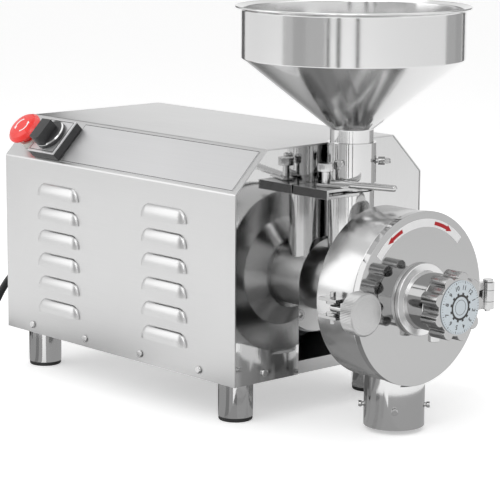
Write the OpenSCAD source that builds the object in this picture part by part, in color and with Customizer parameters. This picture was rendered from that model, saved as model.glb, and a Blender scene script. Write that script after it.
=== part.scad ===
// Electric powder grinder: a motor in a stainless housing, a drum with two grinding discs behind a
// hinged cover, a funnel hopper on a feed tube with a swing gate, and an outlet below the drum.
// X runs along the grinding axis with 0 at the housing's front edge, Y across, Z up from the
// housing's underside. place() moves all of it onto its feet, centred.

/* [Housing] */
// Length of the housing along the grinding axis
body_l = 400; // [380:1:440]
// Width of the housing
body_w = 275; // [262:1:300]
// Height of the upright side walls
wall_h = 203; // [196:1:220]
// Width of each sloping top edge
slope_w = 44; // [42:1:50]
// Rise of each sloping top edge
slope_h = 43.5; // [42:0.5:48]
// Thickness of the housing sheet
sheet = 1.5; // [1:0.1:2]
// Gap between pieces that slide or nest
fit = 0.2; // [0.1:0.05:0.3]
// Height of the base pan's flanges
pan_h = 14; // [14:1:24]
// Radius of the round-topped slot in the front panel
slot_r = 46; // [40:1:50]
// Height of the side screws above the underside
screw_z = 9.5; // [8:0.5:11]
// Distance between the side screws
screw_pitch = 98; // [90:1:100]
// Distance from the front edge to the first side screw
screw_front = 57; // [45:1:60]

/* [Louvres] */
// Number of louvres in a column
louvre_n = 6; // [3:1:6]
// Length of a louvre
louvre_l = 74; // [60:1:80]
// Height of a louvre
louvre_h = 15; // [12:0.5:18]
// Distance that a louvre stands out
louvre_d = 6; // [4:0.5:8]
// Distance between louvres
louvre_pitch = 26.7; // [24:0.1:28]
// Height of the lowest louvre
louvre_z = 29.5; // [27:0.5:34]
// Distance from the front edge to the first column
louvre_front = 77; // [70:1:90]
// Distance between the two columns
louvre_cols = 186; // [170:1:195]

/* [Legs] */
// Height of a leg with its pad
leg_h = 47; // [47:1:60]
// Radius of a leg
leg_r = 18.8; // [15:0.1:20]
// Height of the rubber pad below the leg
pad_h = 4; // [3:0.5:6]
// Distance from the front edge to the front legs
leg_front = 40; // [30:1:60]
// Distance from the rear edge to the rear legs
leg_rear = 22; // [22:1:40]
// Distance from a side wall to its legs
leg_side = 37; // [34:1:45]

/* [Grinding head] */
// Height of the grinding axis above the underside
axis_h = 97; // [94:1:99]
// Outer radius of the drum
drum_r = 90; // [87:0.5:91]
// Gap between the housing and the drum
drum_x = 71.5; // [66:0.5:76]
// Depth of the drum
drum_l = 52; // [52:0.5:60]
// Wall of the drum
drum_wall = 4; // [3:0.5:5]
// Thickness of the gasket
gasket_t = 1.2; // [1:0.1:2]
// Thickness of the cover
cover_t = 7.5; // [6:0.5:9]
// How far the cover stands out past the drum
cover_lip = 1.3; // [0.8:0.1:2]
// Outer radius of the neck
neck_r = 34; // [32:0.5:36]
// Wall of the neck
neck_wall = 4; // [3:0.5:5]
// Outer radius of the outlet
outlet_r = 32; // [28:0.5:34]
// Wall of the outlet
outlet_wall = 2; // [1.5:0.1:3]
// Depth of the outlet's mouth below the underside
outlet_low = 42; // [34:0.5:43]
// Outer radius of the grinding discs
disc_r = 70; // [64:0.5:74]
// Bore radius of the grinding discs
disc_bore_r = 32; // [30:0.5:36]
// Thickness of a grinding disc
disc_t = 8; // [6:0.5:9]
// Thickness of the plate behind a grinding disc
plate_t = 6; // [5:0.5:7]
// Gap between the grinding discs
mill_gap = 1.6; // [1.4:0.1:2.4]
// Number of grooves in a grinding disc
groove_n = 12; // [6:1:16]

/* [Cover fittings] */
// Radius of the flange at the root of the adjuster tube
hub_flange_r = 38; // [36:0.5:42]
// Thickness of that flange
hub_flange_t = 5.5; // [4:0.5:7]
// Radius of the adjuster tube
hub_r = 30; // [26:0.5:32]
// Length of the adjuster tube in front of the cover
hub_l = 32; // [28:0.5:38]
// Radius of the adjuster spindle
spindle_r = 10; // [9:0.5:12]
// Radius of the push rod
rod_r = 6; // [5:0.5:6.5]
// Outer radius of the star knob
star_r = 36; // [34:0.5:40]
// Number of lobes of the star knob
star_n = 9; // [6:1:12]
// Length of the star knob
star_l = 22; // [18:0.5:26]
// Radius of the dial
dial_r = 27.8; // [22:0.1:28]
// Thickness of the dial
dial_t = 1.4; // [1:0.1:2]
// Radius of the clamp knob
clamp_r = 22; // [18:0.5:23]
// Thickness of the clamp knob
clamp_t = 15; // [12:0.5:18]
// Radius of the clamp screw
clamp_screw_r = 4; // [3.5:0.1:4.5]
// Distance of the clamp screw outside the drum
clamp_out = 8; // [7:0.5:10]
// Distance of the hinge pin outside the drum
hinge_out = 14; // [13:0.5:16]
// Radius of the hinge pin
hinge_pin_r = 3; // [2.5:0.1:3.5]

/* [Feed] */
// Distance from the front edge to the feed tube's axis
feed_x = 29.6; // [28.5:0.1:33]
// Outer radius of the feed tube
feed_r = 24.2; // [22:0.1:25]
// Wall of the feed tube
feed_wall = 1.6; // [1.2:0.1:2]
// Height where the hopper's socket starts
socket_z = 208; // [207:0.5:212]
// Length of the hopper's socket
socket_l = 42; // [38:0.5:50]
// Wall of the hopper's socket
socket_wall = 2; // [1.5:0.1:3]
// Height of the swing gate
gate_z = 201; // [200:0.5:202]
// Length of the gate box
gate_box_l = 51; // [51:0.5:56]
// Width of the gate box in front of the feed tube's axis
gate_box_w = 57; // [55:0.5:62]
// Height of the gate box
gate_box_h = 10; // [9:0.5:11]
// Distance of the gate's pivot from the feed tube's axis
gate_arm = 38; // [37:0.5:40]
// Length of the gate lever's rod
lever_l = 62; // [50:1:75]
// Radius of the gate lever's rod
lever_r = 2.7; // [2:0.1:3.5]

/* [Hopper] */
// Radius of the hopper's band
hopper_r = 117; // [100:1:125]
// Radius of the hopper's rim
rim_r = 123.4; // [112:0.2:131]
// Wall of the hopper
hopper_wall = 1.2; // [1:0.1:2]
// Height of the hopper's cone
cone_h = 74; // [60:1:85]
// Height of the hopper's band
band_h = 51; // [40:1:60]
// Visible length of the hopper's neck
neck_l = 14; // [10:0.5:20]
// Length of the hopper's neck inside its socket
neck_in = 30; // [24:0.5:34]

/* [Controls] */
// Side of the square switch base
switch_w = 48; // [44:0.5:52]
// Thickness of the switch base
switch_t = 11; // [9:0.5:12]
// Distance from the front edge to the switch's middle
switch_x = 325.5; // [322:0.5:330]
// Radius of the emergency stop's head
stop_r = 21; // [18:0.5:22]
// Distance from the front edge to the emergency stop
stop_x = 371; // [370:0.5:374]
// Travel of the emergency stop
stop_travel = 4; // [3:0.5:4.5]
// Width of the arrow band on the cover
band_w = 8.5; // [6:0.5:9]

/* [Motor] */
// Outer radius of the motor's frame
motor_r = 76; // [70:1:78]
// Length of the motor's frame
motor_l = 210; // [190:1:220]
// Radius of the shaft
shaft_r = 12.5; // [11:0.5:14]
// Outer radius of the bearings
bearing_r = 26; // [24:0.5:30]
// Width of the bearings
bearing_w = 15; // [12:0.5:16]

/* [Cord] */
// Diameter of the cord
cord_d = 9; // [8:0.1:9]
// Height of the cord's gland above the underside
gland_z = 55; // [50:1:60]
// Distance of the cord's gland from the middle
gland_y = 80; // [76:1:84]

/* [Hidden] */
$fn = 64;
steel = [0.78, 0.78, 0.78];
dark = [0.35, 0.35, 0.36];
black = [0.08, 0.08, 0.08];
red = [0.85, 0.08, 0.06];

// Clearance of a running fit, and a margin that lets a cutter run past the face it cuts
run_fit = 0.08;
cut = 1;
slope_a = atan2(slope_h, slope_w);
slope_l = norm([slope_h, slope_w]);
top_h = wall_h + slope_h;
// How far the end panels lie inside the shell's edges
panel_in = 0.5;
pan_t = 2;
pan_end = panel_in + sheet + fit;
pan_side = body_w / 2 - sheet - fit;
screw_r = 2.4;
screw_head_r = 4.2;
screw_head_t = 2.6;
screw_l = 7;
end_screw_y = 96;
leg_in = body_w / 2 - leg_side;

// Places along the grinding axis, from the motor to the dial
bell_l = 40;
bell_face = 22;
motor_front = -bell_face - bell_l;
motor_back = motor_front - motor_l;
flange_r = 58;
flange_t = 6;
bolt_ring_r = 50;
bolt_r = 4;
bolt_head_r = 6.5;
bolt_head_t = 7;
bolt_deep = 12;
bolt_angles = [45 : 90 : 315];
front_bearing_x = motor_front + 14;
rear_bell_l = 20;
rear_bearing_x = motor_back - bearing_w;
rear_end_x = motor_back - rear_bell_l;
fan_l = 14;
fan_gap = 8;
fan_r = 58;
fan_hub_r = 20;
stator_in = 50;
core_in = 48;
foot_in = 40;
fan_x = rear_end_x - fan_gap - fan_l;
drum_front = drum_x + drum_l;
cover_back = drum_front + gasket_t;
cover_front = cover_back + cover_t;
cover_r = drum_r + cover_lip;
fixed_room = 2.7;
fixed_plate_x = cover_back - fixed_room - plate_t;
fixed_disc_x = fixed_plate_x - disc_t;
rotor_disc_x = fixed_disc_x - mill_gap - disc_t;
rotor_plate_x = rotor_disc_x - plate_t;
nut_l = 7;
hub_front = cover_front + hub_l;
star_x = hub_front + 0.5;
star_front = star_x + star_l;
dial_front = star_front + dial_t;
spindle_in = fixed_plate_x + plate_t + fixed_room / 2;
spindle_out = star_front - 5;
rod_end = cover_front + 10;
outlet_x = drum_x + drum_l / 2;

// The cover's hinge and clamp, on opposite sides of the drum
hinge_x = cover_front + 0.3;
hinge_y = drum_r + hinge_out;
hinge_z = axis_h - 10;
hinge_r = 7;
knuckle_h = 6;
knuckle_out_h = 8;
clamp_y = -drum_r - clamp_out;
clamp_tip = cover_front - 29;
clamp_boss_l = 3.5;
clamp_x = cover_front + 0.5;
fork_x = clamp_tip + 1;
fork_in = 7.5;
fork_t = 3;
post_r = 7;
ear_h = 9;

// The feed tube, its gate and the hopper
feed_bore = feed_r - feed_wall;
neck_out_r = feed_bore + 0.5;
socket_bore = neck_out_r + fit;
socket_r = socket_bore + socket_wall + 0.7;
socket_top = socket_z + socket_l;
socket_step = 2;
socket_screw_z = socket_z + 22;
wing_a = 45;
set_a = -68;
gate_y = -gate_arm;
gate_box_x = 0.8;
gate_spindle_r = 4;
spindle_rise = 16;
spindle_head_r = 8.6;
gate_top = gate_z + gate_box_h / 2;
shutter_t = 2.4;
shutter_r = feed_bore - 0.4;
slot_t = 3.6;
lever_a = 20;
lever_plate_l = 27;
lever_plate_w = 12;
lever_plate_t = 3;
gate_swing = 65;
cone_z = socket_top + neck_l;
band_z = cone_z + cone_h;
band_top = band_z + band_h;
rim_rise = 2.5;

// The controls on the left slope: heights are measured square to the slope
switch_u = switch_w / 2 + 3.5;
plate_thin = 1.5;
knob_gap = 0.3;
knob_r = 19;
knob_skirt = 6;
knob_h = 21;
stop_u = switch_u;
stop_low = 13.5;
stop_pts = [[0, stop_low], [stop_r - 5, stop_low], [stop_r, stop_low + 3.5], [stop_r, stop_low + 6.5],
    [stop_r - 3, stop_low + 9.5], [stop_r - 9, stop_low + 11], [0, stop_low + 11]];
stop_stem_r = 10.8;
stop_stem_low = stop_travel + 1.5;
label_front = 7.5;
label_u = 4;
gland_r = 8;
gland_l = 26;

// The whole object without its cord is centred on the origin
x_low = -body_l - gland_l;
x_high = dial_front;
stop_reach = max([for (p = stop_pts) p[0] * cos(slope_a) + p[1] * sin(slope_a)]);
knob_reach = knob_r * cos(slope_a) + (switch_t + plate_thin + knob_gap + knob_h) * sin(slope_a);
y_low = -body_w / 2 + min(stop_u * cos(slope_a) - stop_reach, switch_u * cos(slope_a) - knob_reach);
y_high = body_w / 2 + louvre_d;
mid_x = (x_low + x_high) / 2;
mid_y = (y_low + y_high) / 2;

module place() translate([-mid_x, -mid_y, leg_h]) children();
module box(low, high) translate(low) cube(high - low);
module along_x(x, l) translate([x, 0, 0]) rotate([90, 0, 90]) linear_extrude(l) children();
module rod_x(x, l, r, y = 0, z = axis_h) translate([x, y, z]) rotate([0, 90, 0]) cylinder(h = l, r = r);
module rod_z(x, y, z, l, r) translate([x, y, z]) cylinder(h = l, r = r);
module ring_x(x, l, r, bore) difference() {
    rod_x(x, l, r);
    rod_x(x - cut, l + 2 * cut, bore);
}
// A turned piece on the grinding axis: its points are [radius, distance along the axis]
module turned_x(pts) translate([0, 0, axis_h]) rotate([0, 90, 0]) rotate_extrude() polygon(pts);
// Something that sticks out of a wall that faces +X, or out of a side wall
module out_of_side(side, x, z) translate([x, side * body_w / 2, z]) rotate([-side * 90, 0, 0]) children();
module out_of_end(x, way, y, z) translate([x, y, z]) rotate([0, way * 90, 0]) children();
// Something that points outwards from the feed tube's axis
module out_of_feed(a, z) translate([feed_x, 0, z]) rotate([0, 0, a]) rotate([0, 90, 0]) children();
// The left slope: X stays, Y runs up the slope, Z points away from it
module on_slope(x, u) translate([-x, -body_w / 2 + u * cos(slope_a), wall_h + u * sin(slope_a)])
    rotate([slope_a, 0, 0]) children();

// Outline of the housing across the axis, t inside its outer face
function shell_pts(t, low = 0) = let (
    y = body_w / 2 - t,
    z = wall_h - t * tan((90 - slope_a) / 2),
    yt = body_w / 2 - slope_w - t * tan(slope_a / 2)
) [[-y, low], [y, low], [y, z], [yt, top_h - t], [-yt, top_h - t], [-y, z]];

side_screws = [for (i = [0 : 3]) -screw_front - i * screw_pitch];
louvre_places = [for (c = [0, 1], i = [0 : louvre_n - 1])
    [-louvre_front - louvre_l - c * louvre_cols, louvre_z + i * louvre_pitch]];

module quarter_oval(w, h, low = 0) polygon(concat([[0, low], [w, low]],
    [for (a = [0 : 22.5 : 90]) [w * cos(a), h * sin(a)]]));
module hood() difference() {
    linear_extrude(louvre_l) quarter_oval(louvre_d, louvre_h);
    translate([0, 0, sheet]) linear_extrude(louvre_l - 2 * sheet)
        quarter_oval(louvre_d - sheet, louvre_h - sheet, -cut);
}
module at_louvre(side, p) translate([p[0], side * body_w / 2, p[1]]) mirror([0, side < 0 ? 1 : 0, 0])
    rotate([90, 0, 90]) children();

module base_pan() place() color(steel) difference() {
    box([-body_l + pan_end, -pan_side, 0], [-pan_end, pan_side, pan_h]);
    box([-body_l + pan_end + pan_t, -pan_side + pan_t, pan_t], [-pan_end - pan_t, pan_side - pan_t, pan_h + cut]);
    for (side = [-1, 1], x = side_screws)
        out_of_side(side, x, screw_z) translate([0, 0, -screw_l - 2 * sheet]) cylinder(h = 20, r = screw_r + fit);
    for (x = [-pan_end - pan_t - cut, -body_l + pan_end - cut], y = [-end_screw_y, end_screw_y])
        rod_x(x, pan_t + 2 * cut, screw_r + fit, y, screw_z);
}
module housing_shell() place() color(steel) difference() {
    union() {
        along_x(-body_l, body_l) difference() {
            polygon(shell_pts(0));
            polygon(shell_pts(sheet, -cut));
        }
        for (side = [-1, 1], p = louvre_places) at_louvre(side, p) hood();
    }
    for (side = [-1, 1], p = louvre_places) at_louvre(side, p) translate([0, 0, sheet])
        linear_extrude(louvre_l - 2 * sheet) translate([-sheet - cut, 0]) square([sheet + 2 * cut, louvre_h * 0.7]);
    for (side = [-1, 1], x = side_screws)
        out_of_side(side, x, screw_z) translate([0, 0, -sheet - cut]) cylinder(h = 3 * cut + sheet, r = screw_r + fit);
}
module end_panel(x) along_x(x, sheet) difference() {
    polygon(shell_pts(sheet + fit));
    for (y = [-end_screw_y, end_screw_y]) translate([y, screw_z]) circle(screw_r + fit);
    children();
}
module front_panel() place() color(steel) end_panel(-panel_in - sheet) {
    translate([0, axis_h]) circle(slot_r);
    translate([-slot_r, -cut]) square([2 * slot_r, axis_h + cut]);
}
vent_n = 7;
vent_pitch = 16;
vent_l = 110;
vent_h = 5;
module rear_panel() place() color(steel) end_panel(-body_l + panel_in) {
    for (i = [0 : vent_n - 1]) translate([-vent_l / 2, 60 + i * vent_pitch]) square([vent_l, vent_h]);
    translate([-gland_y, gland_z]) circle(gland_r + fit);
}
module pan_head() {
    cylinder(h = screw_head_t - 0.8, r = screw_head_r);
    translate([0, 0, screw_head_t - 0.8]) cylinder(h = 0.8, r1 = screw_head_r, r2 = screw_head_r - 1.2);
    translate([0, 0, -screw_l]) cylinder(h = screw_l, r = screw_r);
}
module housing_screws() place() color(steel) {
    for (side = [-1, 1], x = side_screws) out_of_side(side, x, screw_z) pan_head();
    for (y = [-end_screw_y, end_screw_y]) {
        out_of_end(-panel_in, 1, y, screw_z) pan_head();
        out_of_end(-body_l + panel_in, -1, y, screw_z) pan_head();
    }
}
module each_leg() for (x = [-leg_front, -body_l + leg_rear], y = [-leg_in, leg_in]) translate([x, y, 0]) children();
module legs() place() color(steel) each_leg() translate([0, 0, pad_h - leg_h]) cylinder(h = leg_h - pad_h, r = leg_r);
module foot_pads() place() color(black) each_leg() translate([0, 0, -leg_h]) {
    cylinder(h = 1, r1 = leg_r - 1.5, r2 = leg_r - 0.5);
    translate([0, 0, 1]) cylinder(h = pad_h - 1, r = leg_r - 0.5);
}

fin_n = 16;
fin_t = 3;
fin_h = 5;
foot_w = 110;
module motor_frame() place() color(dark) difference() {
    union() {
        rod_x(motor_back, motor_l, motor_r - fin_h);
        for (i = [0 : fin_n - 1]) translate([0, 0, axis_h]) rotate([i * 360 / fin_n, 0, 0])
            box([motor_back + 8, -fin_t / 2, motor_r - fin_h - 2], [motor_front - 8, fin_t / 2, motor_r]);
        box([motor_back + foot_in, -foot_w / 2, pan_t], [motor_front - foot_in, foot_w / 2, axis_h - motor_r / 2]);
    }
    rod_x(motor_back - cut, motor_l + 2 * cut, motor_r - fin_h - 5);
}
stator_r = motor_r - fin_h - 5 - fit;
rotor_core_r = 46;
stator_gap = 1;
module stator() place() color([0.55, 0.33, 0.18])
    ring_x(motor_back + stator_in, motor_l - 2 * stator_in, stator_r, rotor_core_r + stator_gap);
module front_bell() place() color(dark) difference() {
    turned_x([[shaft_r + 2, front_bearing_x + bearing_w + fit], [shaft_r + 2, -bell_face], [60, -bell_face],
        [62, -bell_face - bolt_deep], [motor_r - fin_h, motor_front + 10], [motor_r - fin_h, motor_front],
        [bearing_r + fit / 2, motor_front], [bearing_r + fit / 2, front_bearing_x + bearing_w + fit]]);
    for (a = bolt_angles) rod_x(-bell_face - bolt_deep - fit, bolt_deep + cut, bolt_r,
        bolt_ring_r * cos(a), axis_h + bolt_ring_r * sin(a));
}
module rear_bell() place() color(dark) turned_x([[shaft_r + 2, rear_end_x], [motor_r - fin_h - 3, rear_end_x],
    [motor_r - fin_h, motor_back - 8], [motor_r - fin_h, motor_back], [bearing_r + fit / 2, motor_back],
    [bearing_r + fit / 2, rear_bearing_x - fit], [shaft_r + 2, rear_bearing_x - fit]]);
module front_bearing() place() color(steel) ring_x(front_bearing_x, bearing_w, bearing_r, shaft_r + run_fit);
module rear_bearing() place() color(steel) ring_x(rear_bearing_x, bearing_w, bearing_r, shaft_r + run_fit);
module rotor() place() color(dark) {
    rod_x(fan_x - 2, rotor_disc_x + nut_l + 2 - fan_x, shaft_r);
    rod_x(motor_back + core_in, motor_l - 2 * core_in, rotor_core_r);
}
blade_n = 8;
blade_t = 2.6;
module cooling_fan() place() color(black) difference() {
    union() {
        rod_x(fan_x, fan_l, fan_hub_r);
        rod_x(fan_x, blade_t, fan_r);
        for (i = [0 : blade_n - 1]) translate([0, 0, axis_h]) rotate([i * 360 / blade_n, 0, 0])
            box([fan_x + blade_t / 2, -blade_t / 2, fan_hub_r - cut], [fan_x + fan_l, blade_t / 2, fan_r]);
    }
    rod_x(fan_x - cut, fan_l + 2 * cut, shaft_r + 0.02);
}
cowl_r = motor_r - fin_h + 3;
cowl_t = 2;
cowl_end = fan_x - 10;
module fan_cowl() place() color(dark) difference() {
    turned_x([[12, cowl_end], [cowl_r, cowl_end], [cowl_r, motor_back - fit], [motor_r - fin_h + fit / 2, motor_back - fit],
        [motor_r - fin_h + fit / 2, cowl_end + cowl_t], [12, cowl_end + cowl_t]]);
    for (r = [28, 46], i = [0 : 7]) rod_x(cowl_end - cut, cowl_t + 2 * cut, 6, r * cos(i * 45), axis_h + r * sin(i * 45));
}
cap_r = 22;
cap_l = 90;
cap_in = 60;
cap_side = 8;
module capacitor() place() color([0.8, 0.8, 0.82])
    rod_x(motor_back + cap_in, cap_l, cap_r, pan_side - cap_r - cap_side, pan_t + cap_r);
module neck_bolts() place() color(steel) for (a = bolt_angles) {
    y = bolt_ring_r * cos(a);
    z = axis_h + bolt_ring_r * sin(a);
    difference() {
        rod_x(-bell_face + flange_t, bolt_head_t, bolt_head_r, y, z);
        translate([-bell_face + flange_t + 3, y, z]) rotate([0, 90, 0]) cylinder(h = bolt_head_t, r = 3.5, $fn = 6);
    }
    rod_x(-bell_face - bolt_deep, bolt_deep + flange_t, bolt_r - fit, y, z);
}
module neck() place() color(steel) difference() {
    union() {
        rod_x(-bell_face, flange_t, flange_r);
        rod_x(-bell_face, drum_x + bell_face, neck_r);
    }
    rod_x(-bell_face - cut, drum_x + bell_face + 2 * cut, neck_r - neck_wall);
    for (a = bolt_angles) rod_x(-bell_face - cut, flange_t + 2 * cut, bolt_r, bolt_ring_r * cos(a), axis_h + bolt_ring_r * sin(a));
    rod_z(feed_x, 0, axis_h, neck_r + cut, feed_bore);
}
auger_x = 4;
auger_l = drum_x - auger_x - 4;
auger_core_r = shaft_r + 3.5;
auger_r = neck_r - neck_wall - 2;
module feed_auger() place() color(steel) translate([auger_x, 0, axis_h]) rotate([0, 90, 0]) {
    difference() {
        cylinder(h = auger_l, r = auger_core_r, $fn = 32);
        translate([0, 0, -cut]) cylinder(h = auger_l + 2 * cut, r = shaft_r + 0.15, $fn = 32);
    }
    linear_extrude(auger_l, twist = -540, slices = 40) translate([auger_core_r - 0.5, -2]) square([auger_r - auger_core_r, 4]);
}
drum_edge = 30;
hub_rise = 14;
module drum() place() color(steel) difference() {
    turned_x([[neck_r - neck_wall, drum_x], [neck_r + fit / 2, drum_x], [neck_r + fit / 2, drum_x - hub_rise],
        [neck_r + 5, drum_x - hub_rise],
        [drum_r - drum_edge, drum_x], [drum_r, drum_x], [drum_r, drum_front], [drum_r - drum_wall, drum_front],
        [drum_r - drum_wall, drum_x + drum_wall], [neck_r - neck_wall, drum_x + drum_wall]]);
    intersection() {
        rod_z(outlet_x, 0, 0, axis_h, outlet_r - outlet_wall);
        box([drum_x + drum_wall, -drum_r, 0], [drum_front - 3, drum_r, axis_h]);
    }
}
outlet_top = axis_h - cover_r - 0.7;
outlet_lid = 1.5;
outlet_shank = 5;
module outlet() place() color(steel) difference() {
    union() {
        rod_z(outlet_x, 0, -outlet_low, outlet_top + outlet_low, outlet_r);
        intersection() {
            rod_z(outlet_x, 0, outlet_top - cut, axis_h - outlet_top, outlet_r);
            box([drum_x, -outlet_r, outlet_top - cut], [drum_front, outlet_r, axis_h]);
        }
    }
    rod_z(outlet_x, 0, -outlet_low - cut, outlet_top - outlet_lid + outlet_low + cut, outlet_r - outlet_wall);
    intersection() {
        rod_z(outlet_x, 0, outlet_top - outlet_lid - cut, axis_h, outlet_r - outlet_wall);
        box([drum_x + outlet_wall, -outlet_r, outlet_top - outlet_lid - cut], [drum_front - outlet_wall, outlet_r, axis_h]);
    }
    rod_x(drum_x - cut, drum_l + 2 * cut, drum_r + fit / 2);
    for (a = [45 : 90 : 315]) at_outlet_screw(a) translate([0, 0, -outlet_shank]) cylinder(h = 2 * outlet_shank, r = screw_r + fit);
}
small_head_r = 3.4;
module at_outlet_screw(a) translate([outlet_x, 0, -outlet_low / 2]) rotate([0, 90, a]) translate([0, 0, outlet_r]) children();
module small_screw(l) {
    translate([0, 0, -l]) cylinder(h = l + 2, r = screw_r);
    translate([0, 0, 2]) cylinder(h = 3.5, r = small_head_r);
}
module small_screws() place() color(steel) {
    for (a = [45 : 90 : 315]) at_outlet_screw(a) small_screw(outlet_wall);
    out_of_feed(set_a, socket_screw_z) translate([0, 0, socket_r]) small_screw(socket_r - neck_out_r - fit);
}
module grinding_disc(x, face) difference() {
    ring_x(x, disc_t, disc_r, disc_bore_r);
    for (i = [0 : groove_n - 1]) translate([0, 0, axis_h]) rotate([i * 360 / groove_n, 0, 0])
        box([face - 1.2, -1.5, disc_bore_r + 5], [face + 1.2, 1.5, disc_r + cut]);
}
module rotor_disc() place() color(dark) grinding_disc(rotor_disc_x, rotor_disc_x + disc_t);
module fixed_disc() place() color(dark) grinding_disc(fixed_disc_x, fixed_disc_x);
module rotor_plate() place() color(steel) difference() {
    rod_x(rotor_plate_x, plate_t, disc_r - 2);
    rod_x(rotor_plate_x - cut, plate_t + 2 * cut, shaft_r + 0.05);
    for (a = [0 : 90 : 270]) rod_x(rotor_plate_x - cut, plate_t + 2 * cut, 7, 23 * cos(a), axis_h + 23 * sin(a));
}
module shaft_nut() place() color(steel) difference() {
    translate([rotor_disc_x, 0, axis_h]) rotate([0, 90, 0]) cylinder(h = nut_l, r = shaft_r + 7, $fn = 6);
    rod_x(rotor_disc_x - cut, nut_l + 2 * cut, shaft_r + 0.05);
}
module fixed_plate() place() color(steel) {
    rod_x(fixed_plate_x, plate_t, disc_r - 2);
    rod_x(fixed_plate_x, rod_end - fixed_plate_x, rod_r);
}
module gasket() place() color(black) ring_x(drum_front, gasket_t, drum_r, drum_r - drum_wall);
module cover() place() color(steel) difference() {
    union() {
        rod_x(cover_back, cover_t, cover_r);
        box([cover_back, clamp_y - 10, axis_h - ear_h], [cover_front, -drum_r + 8, axis_h + ear_h]);
    }
    rod_x(cover_back - cut, cover_t + 2 * cut, spindle_r + run_fit);
    rod_x(cover_back - cut, cover_t + 2 * cut, clamp_screw_r + run_fit, clamp_y);
}
module adjuster_tube() place() color(steel) difference() {
    union() {
        rod_x(cover_front, hub_flange_t, hub_flange_r);
        rod_x(cover_front, hub_l, hub_r);
    }
    rod_x(cover_front - cut, hub_l + 2 * cut, spindle_r + run_fit);
    rod_z(lock_x, 0, axis_h - hub_r - cut, hub_r + cut, lock_r + run_fit);
}
lock_x = cover_front + 20;
lock_r = 3;
lock_head_r = 6;
module lock_screw() place() color(steel) {
    rod_z(lock_x, 0, axis_h - hub_r - 2, hub_r + 2 - spindle_r - 0.3, lock_r);
    rod_z(lock_x, 0, axis_h - hub_r - 11, 9, lock_head_r);
}
module adjuster_spindle() place() color(steel) difference() {
    rod_x(spindle_in, spindle_out - spindle_in, spindle_r);
    rod_x(spindle_in - cut, rod_end + 4 - spindle_in + cut, rod_r + run_fit);
}
module star_knob() place() color(steel) difference() {
    union() {
        rod_x(star_x, star_l, star_r - 6);
        for (i = [0 : star_n - 1]) rod_x(star_x, star_l, 7, (star_r - 7) * cos(80 + i * 360 / star_n),
            axis_h + (star_r - 7) * sin(80 + i * 360 / star_n));
    }
    rod_x(star_x - cut, spindle_out - star_x + cut, spindle_r + 0.02);
}
module dial() place() color([0.85, 0.88, 0.9]) rod_x(star_front, dial_t, dial_r);
module arrow_band() place() color("white") along_x(cover_front, 0.4) intersection() {
    translate([0, axis_h]) difference() {
        circle(drum_r - 6.5);
        circle(drum_r - 6.5 - band_w);
    }
    translate([0, axis_h]) polygon([[0, 0], [100, 96], [100, 200], [-150, 200], [-150, 121]]);
}
module clamp_fork() place() color(steel) difference() {
    union() {
        for (z = [-fork_in - fork_t, fork_in])
            box([fork_x - 13, clamp_y - 8, axis_h + z], [fork_x + 12, -drum_r + 12, axis_h + z + fork_t]);
        rod_z(fork_x, clamp_y, axis_h - fork_in, 2 * fork_in, post_r);
        rod_z(fork_x, clamp_y, axis_h - fork_in - fork_t - 6, 2 * (fork_in + fork_t + 6), 3);
    }
    rod_x(drum_x - cut, drum_l + 2 * cut, drum_r + fit / 2);
    box([fork_x - 20, clamp_y - 20, axis_h - clamp_screw_r - 0.6], [fork_x + 20, clamp_y + clamp_screw_r + 0.6, axis_h + clamp_screw_r + 0.6]);
}
module clamp_screw() place() color(steel) rod_x(clamp_tip, clamp_x + 8 - clamp_tip, clamp_screw_r, clamp_y);
module clamp_knob() place() color(steel) difference() {
    union() {
        rod_x(clamp_x, clamp_boss_l, 9, clamp_y);
        rod_x(clamp_x + clamp_boss_l, clamp_t, clamp_r, clamp_y);
    }
    rod_x(clamp_x - cut, 8 + cut, clamp_screw_r + 0.02, clamp_y);
}
module drum_hinge() place() color(steel) difference() {
    union() {
        box([drum_x + 36, drum_r - 6, hinge_z - knuckle_h], [drum_front - 1, hinge_y - 1, hinge_z + knuckle_h]);
        box([drum_front - 6, cover_r + 5, hinge_z - knuckle_h], [hinge_x, hinge_y + 2, hinge_z + knuckle_h]);
        rod_z(hinge_x, hinge_y, hinge_z - knuckle_h, 2 * knuckle_h, hinge_r);
    }
    rod_x(drum_x - cut, drum_l + cut + 5, drum_r + fit / 2);
    rod_z(hinge_x, hinge_y, hinge_z - 20, 40, hinge_pin_r + run_fit);
}
module cover_hinge() place() color(steel) difference() {
    for (z = [hinge_z + knuckle_h + 0.3, hinge_z - knuckle_h - 0.3 - knuckle_out_h]) {
        box([cover_back + 0.5, cover_r - 8, z], [cover_front - 0.5, hinge_y, z + knuckle_out_h]);
        rod_z(hinge_x, hinge_y, z, knuckle_out_h, hinge_r);
    }
    rod_x(cover_back, cover_t, cover_r + fit / 2);
    rod_z(hinge_x, hinge_y, hinge_z - 20, 40, hinge_pin_r + run_fit);
}
module hinge_pin() place() color(steel) {
    rod_z(hinge_x, hinge_y, hinge_z - 17, 34, hinge_pin_r);
    rod_z(hinge_x, hinge_y, hinge_z + knuckle_h + knuckle_out_h + 0.6, 3, hinge_pin_r + 2.5);
}

module feed_tube() place() color(steel) difference() {
    union() {
        rod_z(feed_x, 0, axis_h + 10, socket_z + socket_step - axis_h - 10, feed_r);
        rod_z(feed_x, 0, socket_z, socket_l, socket_r);
    }
    rod_z(feed_x, 0, axis_h, socket_top - axis_h, feed_bore);
    rod_z(feed_x, 0, socket_z + socket_step, socket_l, socket_bore);
    rod_x(-20, feed_x + 80, neck_r + fit / 2);
    gate_space(feed_x - 14);
    for (a = [wing_a, set_a]) out_of_feed(a, socket_screw_z) cylinder(h = 40, r = screw_r + fit);
}
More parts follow.
